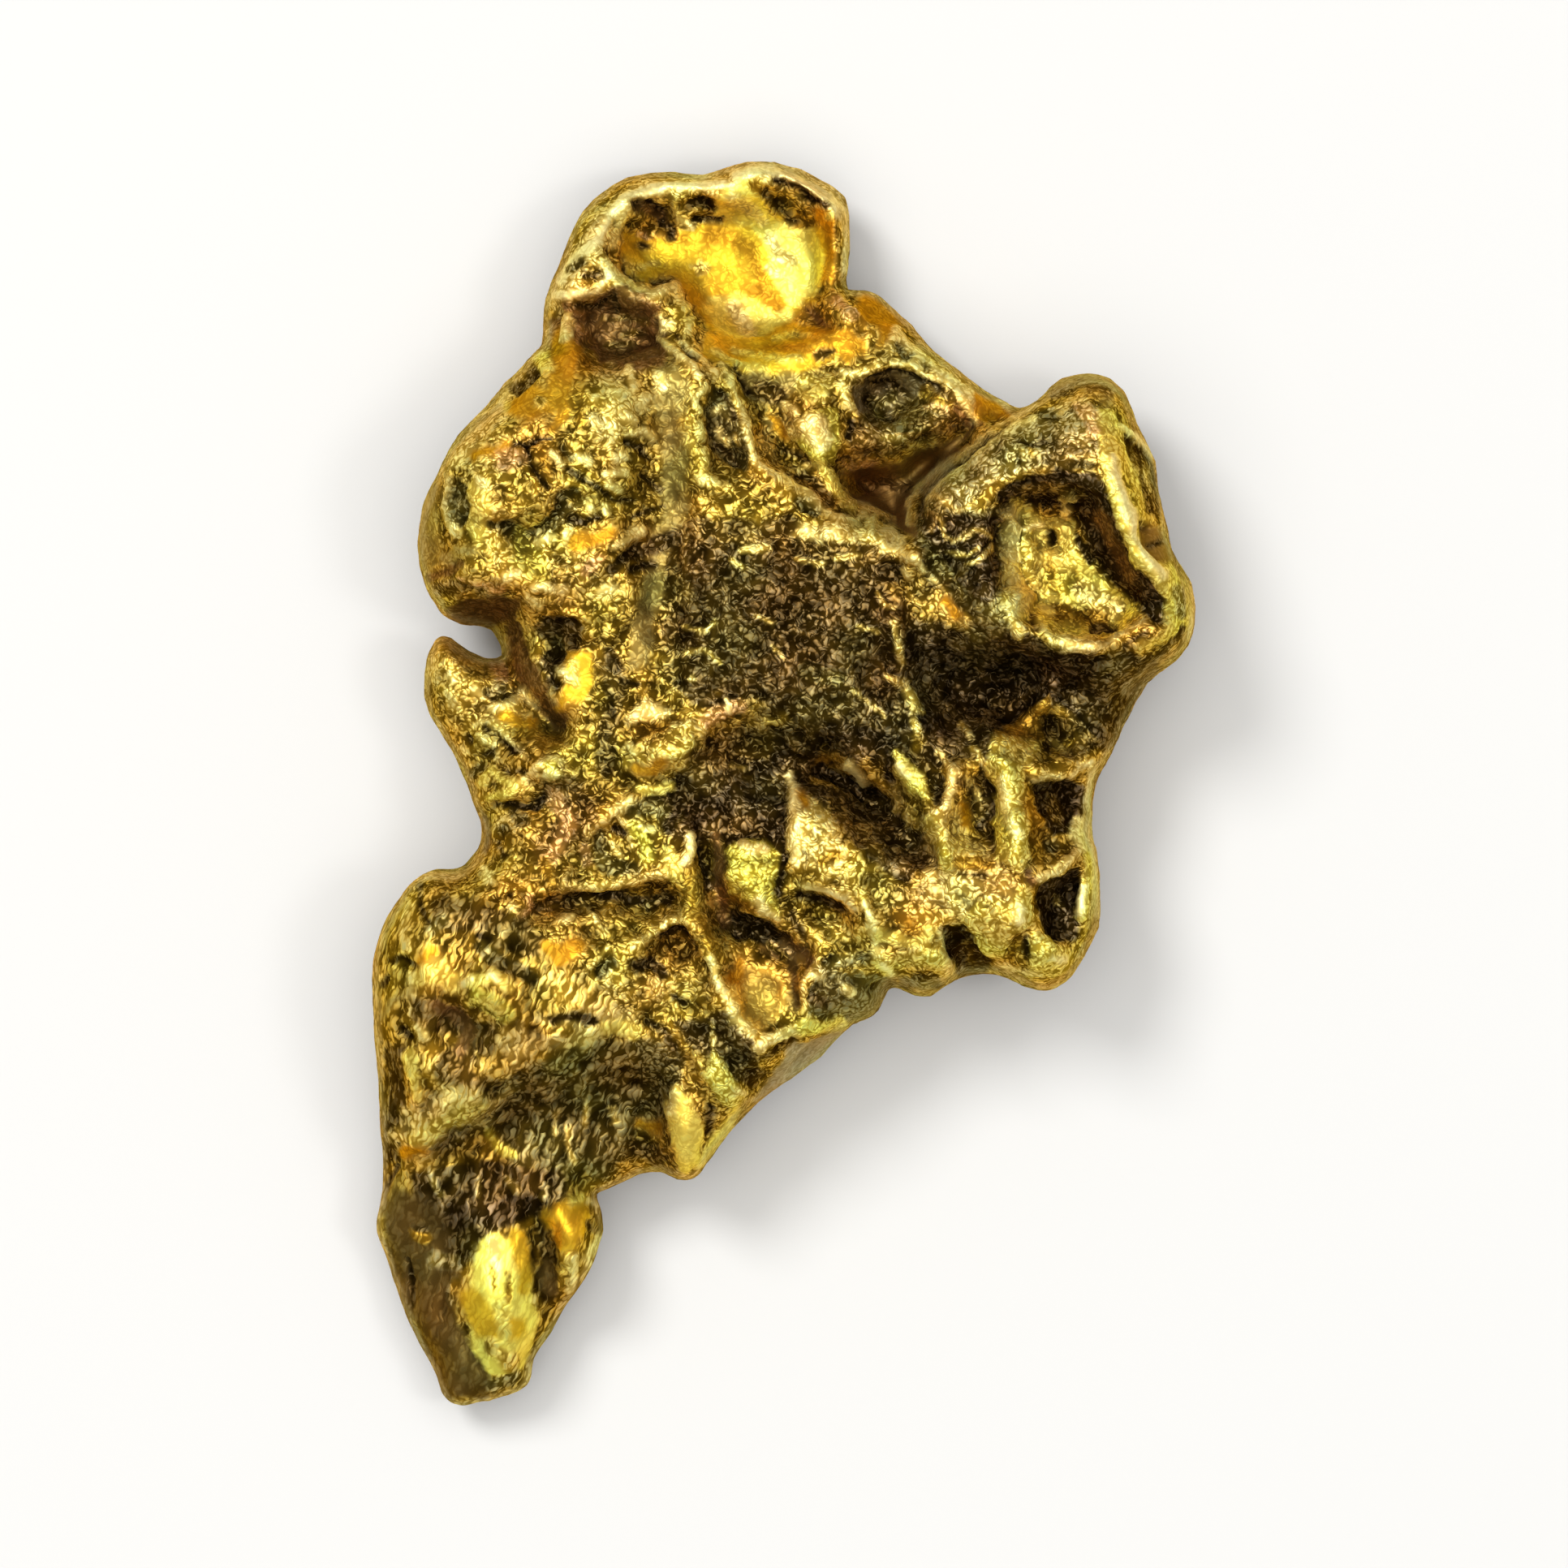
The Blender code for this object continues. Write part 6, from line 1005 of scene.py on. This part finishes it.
def normals_of(points, corners):
    """Which way the surface faces at each point."""
    a, b, c = (points[corners[:, i]] for i in range(3))
    flat = np.cross(b - a, c - a)
    total = sum(sum_over(corners[:, corner], flat, len(points)) for corner in range(3))
    return total / np.maximum(np.linalg.norm(total, axis=1), 1e-12)[:, None]


def hollowness(points, corners, normals, rounds):
    """How far each point lies below its smoothed neighbourhood, in millimetres."""
    edges = np.concatenate([corners[:, [0, 1]], corners[:, [1, 2]], corners[:, [2, 0]]])
    around = np.bincount(edges[:, 0], minlength=len(points))[:, None]
    smooth = points
    for _ in range(rounds):
        ring = sum_over(edges[:, 0], smooth[edges[:, 1]], len(points))
        smooth = (1.0 - SMOOTHING) * smooth + SMOOTHING * ring / around
    return np.einsum("ij,ij->i", smooth - points, normals)


def noise_at(points, size, seed):
    """Smooth noise from about -1 to 1, with lumps of a size in millimetres."""
    shift = Vector(SEED_STEP) * seed
    return np.array([noise.noise(Vector(place) + shift) for place in points / size])


def two_noises(points, sizes, seed):
    """Smooth noise of one size, with weaker noise of another size laid over it."""
    first, second = sizes
    return noise_at(points, first, seed) + SECOND_NOISE * noise_at(points, second, seed + 1)


def ridged(points, size, seed, streak):
    """Noise that peaks at 1 in narrow, winding ridges, drawn out where the skin is streaked."""
    lean = np.array([[math.cos(STREAK_LEAN), -math.sin(STREAK_LEAN), 0.0],
                     [math.sin(STREAK_LEAN), math.cos(STREAK_LEAN), 0.0],
                     [0.0, 0.0, 1.0]])
    drawn = points @ lean * np.array(STREAK_SCALE)
    value = (1.0 - streak) * noise_at(points, size, seed) + streak * noise_at(drawn, size, seed)
    return 1.0 - 4.0 * np.abs(value)


def rim_gap(points, normals):
    """How far each point is in plan from the nugget's rim."""
    rim = np.flatnonzero((np.abs(normals[:, 2]) < RIM_TILT) & (points[:, 2] < RIM_TOP))
    tree = kdtree.KDTree(len(rim))
    for place, index in enumerate(rim):
        tree.insert((points[index, 0], points[index, 1], 0.0), place)
    tree.balance()
    return np.array([tree.find((x, y, 0.0))[2] for x, y in points[:, :2]])


def tone_and_light_row(name):
    """A tone as one row: red, green, blue, share that stands proud, grain."""
    colour, share, grain = TONES_AND_PAINTED_LIGHT[name]
    return np.array([*colour, share, grain])


def lay_marks(points, normals):
    """The colour, share and grain at each point, painted highlights and shade included, and how far the
    marks raise it.
    """
    places = points[:, :2]
    facing = smooth_step((normals[:, 2] - LEAST_TILT) / TILT_FADE)
    wander = EDGE_WANDER * two_noises(points, WANDER_SIZES, 1)
    tone_and_light = np.tile(tone_and_light_row("gold"), (len(points), 1))
    rise = np.zeros(len(points))
    for name, reach, height, course in MARKS:
        soft = min(max(SOFTNESS * reach, CRISPEST), SOFTEST)
        low = np.min(course, axis=0) - reach - soft
        high = np.max(course, axis=0) + reach + soft
        near = np.flatnonzero(np.all((places > low) & (places < high), axis=1) & (facing > 0.0))
        gap = course_gap(places[near], course) + wander[near] * min(reach, SOFTEST)
        cover = facing[near] * smooth_step(0.5 + (reach - gap) / soft)
        tone_and_light[near] += cover[:, None] * (tone_and_light_row(name) - tone_and_light[near])
        rise[near] += cover * height
    return tone_and_light, rise


def relief(points, grain, streak):
    """Winding ridges of the skin, lower where the tone has little grain."""
    calm = (1.0, SMOOTH_RELIEF + (1.0 - SMOOTH_RELIEF) * grain, grain * grain)
    return sum(height * ridged(points, size, seed, streak) * share
               for seed, ((size, height), share) in enumerate(zip(LUMPS, calm), start=3))


def paint_rim_reflection_and_wall_shade(tone_and_light, normals, inward):
    """The colours, with a painted pale reflection along the rim and painted shade on the walls below it."""
    # Painted reflection: a pale grey band along the rim; painted shade: brown over the steep walls below
    # it.
    edge = (smooth_step(0.5 + (RIM_BAND - inward) / RIM_FADE)
            * smooth_step(1.0 - np.abs(normals[:, 2] - EDGE_TILT) / EDGE_TILT_RANGE))
    wall = smooth_step((WALL_TILT - normals[:, 2]) / WALL_TILT_RANGE)
    for name, share in (("ash", RIM_PAINTED_REFLECTION * edge), ("brown", WALL_PAINTED_SHADE * wall)):
        tone_and_light = tone_and_light + share[:, None] * (tone_and_light_row(name) - tone_and_light)
    return tone_and_light


def depth_in_hollows(points, corners, normals):
    """How hollow the surface is at each point, near and wide together; below zero on crests."""
    total = 0.0
    for rounds, full_depth, share, limits in (NEAR_HOLLOWS, WIDE_HOLLOWS):
        total += share * np.clip(hollowness(points, corners, normals, rounds) / full_depth, *limits)
    return total


def shade(tone_and_light, points, hollow):
    """The colours, darker in hollows with tarnish and painted shade, brighter on crests with painted
    highlights, with speckle and drifts of tint.
    """
    tint = noise_at(points, TINT_SIZE, 6)
    speckle = tone_and_light[:, 4] * two_noises(points, SPECKLE_SIZES, 7)
    bright = 1.0 + SPECKLE_LIGHT * speckle - HOLLOW_SHADE * hollow
    tone_and_light[:, :3] *= np.clip(bright, *LIGHT_LIMITS)[:, None]
    tone_and_light[:, 0] *= 1.0 - RED_DRIFT * np.clip(tint, -0.5, 1.0)
    tone_and_light[:, 1] *= 1.0 + GREEN_DRIFT * np.clip(tint, -1.0, 0.5)
    tone_and_light[:, 2] *= 1.0 + BLUE_DRIFT * np.clip(tint, -1.0, 0.0)
    sunk = np.where(hollow > 0.0, HOLLOW_TARNISH_AND_SHADE, CREST_SHINE) * hollow
    tone_and_light[:, 3] = np.clip(tone_and_light[:, 3] - sunk + SPECKLE_SHARE * speckle, LEAST_SHARE, 1.0)
    tone_and_light[:, :3] *= BRIGHTEST / np.maximum(BRIGHTEST, tone_and_light[:, :3].max(axis=1))[:, None]
    return tone_and_light


def dress(points, corners):
    """The nugget's fine points, their colour with painted highlights and shade, and how streaked they are.
    """
    normals = normals_of(points, corners)
    streak = smooth_step(0.5 + (STREAK_REACH - course_gap(points[:, :2], STREAKS)) / STREAK_FADE)
    tone_and_light, rise = lay_marks(points, normals)
    inward = rim_gap(points, normals)
    calm = (smooth_step(points[:, 2] / REST_DEPTH)
            * (RIM_RELIEF + (1.0 - RIM_RELIEF) * smooth_step(inward / RIM_CALM)))
    points = points + normals * ((rise + relief(points, tone_and_light[:, 4], streak)) * calm)[:, None]
    points = fit_inside(points)
    normals = normals_of(points, corners)
    tone_and_light = paint_rim_reflection_and_wall_shade(tone_and_light, normals, inward)
    tone_and_light = shade(tone_and_light, points, depth_in_hollows(points, corners, normals))
    return points, tone_and_light, streak


def fit_inside(points):
    """The points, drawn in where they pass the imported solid's box."""
    low = np.array(CAD_LOW) / MM
    high = np.array(CAD_HIGH) / MM
    middle = (low + high) / 2.0
    over = np.max(np.abs(points - middle), axis=0) / ((high - low) / 2.0)
    drawn = middle + (points - middle) / np.maximum(over, 1.0)
    drawn[:, 2] = points[:, 2] * min(1.0, high[2] / points[:, 2].max())
    return drawn


def add_node(tree, kind, inputs=(), **settings):
    """One shader node, with its settings and its linked or fixed inputs."""
    node = tree.nodes.new(kind)
    for key, value in settings.items():
        setattr(node, key, value)
    for socket, value in dict(inputs).items():
        if isinstance(value, bpy.types.NodeSocket):
            tree.links.new(value, node.inputs[socket])
        else:
            node.inputs[socket].default_value = value
    return node


def gold_skin():
    """Native gold: bright worms and beads of metal over dark gaps, which are tarnish with painted shade;
    the beads' light cores are painted highlights.
    """
    material = bpy.data.materials.new("native gold skin")
    material.use_nodes = True
    tree = material.node_tree
    shader = tree.nodes["Principled BSDF"]
    place = add_node(tree, "ShaderNodeTexCoord").outputs["Object"]
    tone = add_node(tree, "ShaderNodeAttribute", attribute_name="tone").outputs["Color"]
    skin = add_node(tree, "ShaderNodeAttribute", attribute_name="skin").outputs["Vector"]
    share, grain, streak = add_node(tree, "ShaderNodeSeparateXYZ", {0: skin}).outputs

    def maths(operation, *values):
        return add_node(tree, "ShaderNodeMath", dict(enumerate(values)), operation=operation).outputs[0]

    def vectors(operation, first, second):
        return add_node(tree, "ShaderNodeVectorMath", {0: first, 1: second}, operation=operation).outputs[0]

    def spread(value, low, high, to_low=0.0, to_high=1.0):
        return add_node(tree, "ShaderNodeMapRange",
                        {"Value": value, "From Min": low, "From Max": high,
                         "To Min": to_low, "To Max": to_high},
                        interpolation_type="SMOOTHSTEP").outputs["Result"]

    def mix(share_of_second, first, second):
        return add_node(tree, "ShaderNodeMix", {0: share_of_second, 2: first, 3: second},
                        data_type="FLOAT").outputs[0]

    def mix_colour(share_of_second, first, second, blend="MIX"):
        return add_node(tree, "ShaderNodeMix", {0: share_of_second, 6: first, 7: second},
                        data_type="RGBA", blend_type=blend).outputs[2]

    def beads(vector, scale):
        """How far each place is from its bead's middle, and two numbers for the bead."""
        bead = add_node(tree, "ShaderNodeTexVoronoi", {"Vector": vector, "Scale": scale})
        numbers = add_node(tree, "ShaderNodeSeparateColor", {0: bead.outputs["Color"]}).outputs
        return bead.outputs["Distance"], numbers[0], numbers[1]

    def thread(vector, scale):
        """Winding threads: 1 along them, 0 away from them."""
        value = add_node(tree, "ShaderNodeTexNoise", {"Vector": vector, "Scale": scale, "Detail": 1.0})
        gap = maths("ABSOLUTE", maths("SUBTRACT", value.outputs["Fac"], 0.5))
        return spread(gap, *THREAD_EDGE)

    # The grain's coordinates are bent, so that its beads curl; on the leg they are drawn out.
    bend = add_node(tree, "ShaderNodeTexNoise", {"Vector": place, "Scale": BENDS, "Detail": 1.0})
    shift = vectors("SUBTRACT", bend.outputs["Color"], (0.5, 0.5, 0.5))
    bent = vectors("ADD", place, vectors("MULTIPLY", shift, (BEND,) * 3))
    leaning = vectors("ADD", place, vectors("MULTIPLY", shift, (STREAK_BEND,) * 3))
    turned = add_node(tree, "ShaderNodeVectorRotate", {"Vector": leaning, "Angle": -STREAK_LEAN},
                      rotation_type="Z_AXIS").outputs[0]
    drawn = vectors("MULTIPLY", turned, STREAK_SCALE)
    is_drawn = maths("GREATER_THAN", streak, 0.5)
    grain_place = add_node(tree, "ShaderNodeMix", {0: is_drawn, 4: bent, 5: drawn},
                           data_type="VECTOR").outputs[1]

    # Beads and threads stand proud of the gaps, and the share decides how many do.
    far, first, second = beads(grain_place, BEADS)
    threads = thread(grain_place, THREADS)
    core = spread(far, *BEAD_CORE)
    body = spread(far, *BEAD_BODY)
    level = maths("SUBTRACT", 1.0, share)
    standing = spread(first, maths("SUBTRACT", level, STANDING_FADE), maths("ADD", level, STANDING_FADE))
    standing = maths("MAXIMUM", standing, maths("MULTIPLY", threads, THREAD_SHARE))
    proud = mix(grain, 1.0, maths("MULTIPLY", body, standing))

    # Gaps are dark and warm, tarnish with painted shade; beads are lightest at their cores, a painted
    # highlight over painted shade at their edges.
    darkest, lighter = GAP_LIGHT
    gap_shade = maths("ADD", darkest, maths("MULTIPLY", maths("MULTIPLY", share, share), lighter))
    gap_tint = vectors("MULTIPLY", GAP_TINT, add_node(
        tree, "ShaderNodeCombineXYZ", {0: gap_shade, 1: gap_shade, 2: gap_shade}).outputs[0])
    gap_colour = vectors("MULTIPLY", tone, gap_tint)
    edge_colour = mix_colour(grain, tone, mix_colour(1.0, tone, BEAD_EDGE_TINT, "MULTIPLY"))
    light = mix(grain, 1.0, spread(second, 0.0, 1.0, *BEAD_LIGHT))
    core_colour = add_node(tree, "ShaderNodeVectorMath", {0: tone, "Scale": light},
                           operation="SCALE").outputs[0]
    metal = mix_colour(core, edge_colour, core_colour)
    colour = mix_colour(proud, gap_colour, metal)
    tree.links.new(colour, shader.inputs["Base Color"])
    tree.links.new(spread(proud, 0.0, 1.0, GAP_ROUGHNESS, METAL_ROUGHNESS), shader.inputs["Roughness"])
    shader.inputs["Metallic"].default_value = 1.0
    shader.inputs["Specular Tint"].default_value = GLINT_TINT
    height = maths("MULTIPLY", mix(standing, 0.5, 1.0), maths("ADD", 0.1, grain))
    bump = add_node(tree, "ShaderNodeBump", {"Height": spread(far, *BEAD_DOME), "Strength": 1.0,
                                             "Distance": maths("MULTIPLY", height, BEAD_HEIGHT)})
    tree.links.new(bump.outputs["Normal"], shader.inputs["Normal"])
    return material


def make_nugget():
    """The nugget's skin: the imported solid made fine, in place of it."""
    points, corners = mesh_arrays(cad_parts["nugget"].data)
    for _ in range(REFINEMENTS):
        points, corners = refine(points, corners)
    points, tone_and_light, streak = dress(points, corners)
    mesh = bpy.data.meshes.new("gold_nugget_skin")
    mesh.from_pydata((points * MM).tolist(), [], corners.tolist())
    mesh.shade_smooth()
    tone = mesh.attributes.new("tone", "FLOAT_COLOR", "POINT")
    tone.data.foreach_set("color", np.column_stack([tone_and_light[:, :3], np.ones(len(points))]).ravel())
    skin = mesh.attributes.new("skin", "FLOAT_VECTOR", "POINT")
    skin.data.foreach_set("vector", np.column_stack([tone_and_light[:, 3], tone_and_light[:, 4], streak]).ravel())
    mesh.materials.append(gold_skin())
    piece = bpy.data.objects.new("gold_nugget_skin", mesh)
    bpy.context.scene.collection.objects.link(piece)
    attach(piece, "root")
    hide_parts("nugget")


def make_floor():
    """A plain pale floor just under the nugget, so that the two share no plane."""
    mesh = bpy.data.meshes.new("floor")
    half = FLOOR_HALF
    mesh.from_pydata([(-half, -half, 0), (half, -half, 0), (half, half, 0), (-half, half, 0)],
                     [], [(0, 1, 2, 3)])
    floor = bpy.data.objects.new("floor", mesh)
    floor.location.z = -FLOOR_GAP
    material = bpy.data.materials.new("pale floor")
    material.use_nodes = True
    shader = material.node_tree.nodes["Principled BSDF"]
    shader.inputs["Base Color"].default_value = FLOOR_COLOUR
    shader.inputs["Roughness"].default_value = FLOOR_ROUGHNESS
    mesh.materials.append(material)
    bpy.context.scene.collection.objects.link(floor)
    floor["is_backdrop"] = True


def area_light(name, azimuth, elevation, size, power):
    """A soft light that looks at the nugget; azimuth runs clockwise from +Y, seen from above."""
    light = bpy.data.lights.new(name, "AREA")
    light.shape = "DISK"
    light.size = size
    light.energy = power
    lamp = bpy.data.objects.new(name, light)
    a, e = math.radians(azimuth), math.radians(elevation)
    towards = Vector((math.sin(a) * math.cos(e), math.cos(a) * math.cos(e), math.sin(e)))
    lamp.location = towards * LIGHT_DISTANCE
    lamp.rotation_euler = (-lamp.location).to_track_quat("-Z", "Y").to_euler()
    bpy.context.scene.collection.objects.link(lamp)


def light_the_scene():
    """Plain soft studio light: two soft lamps, a small glint and a white surround."""
    area_light("soft overhead", azimuth=0, elevation=89, size=0.9, power=4.6)
    area_light("key from the upper left", azimuth=-45, elevation=55, size=0.20, power=2.4)
    area_light("glint from the right", azimuth=95, elevation=60, size=0.12, power=0.5)
    world = bpy.data.worlds.new("studio")
    world.use_nodes = True
    background = world.node_tree.nodes["Background"]
    background.inputs["Color"].default_value = (1.0, 1.0, 1.0, 1.0)
    background.inputs["Strength"].default_value = STUDIO_LIGHT
    bpy.context.scene.world = world


def make_camera():
    """A camera straight above the nugget that takes in FRAME_WIDTH at FOCUS_HEIGHT."""
    data = bpy.data.cameras.new("camera")
    data.sensor_width = SENSOR
    data.lens = SENSOR * CAMERA_DISTANCE / FRAME_WIDTH
    camera = bpy.data.objects.new("camera", data)
    camera.location = (0.0, 0.0, FOCUS_HEIGHT + CAMERA_DISTANCE)
    bpy.context.scene.collection.objects.link(camera)
    bpy.context.scene.camera = camera


make_nugget()
make_floor()
light_the_scene()
make_camera()
bpy.context.scene.view_settings.view_transform = "Standard"
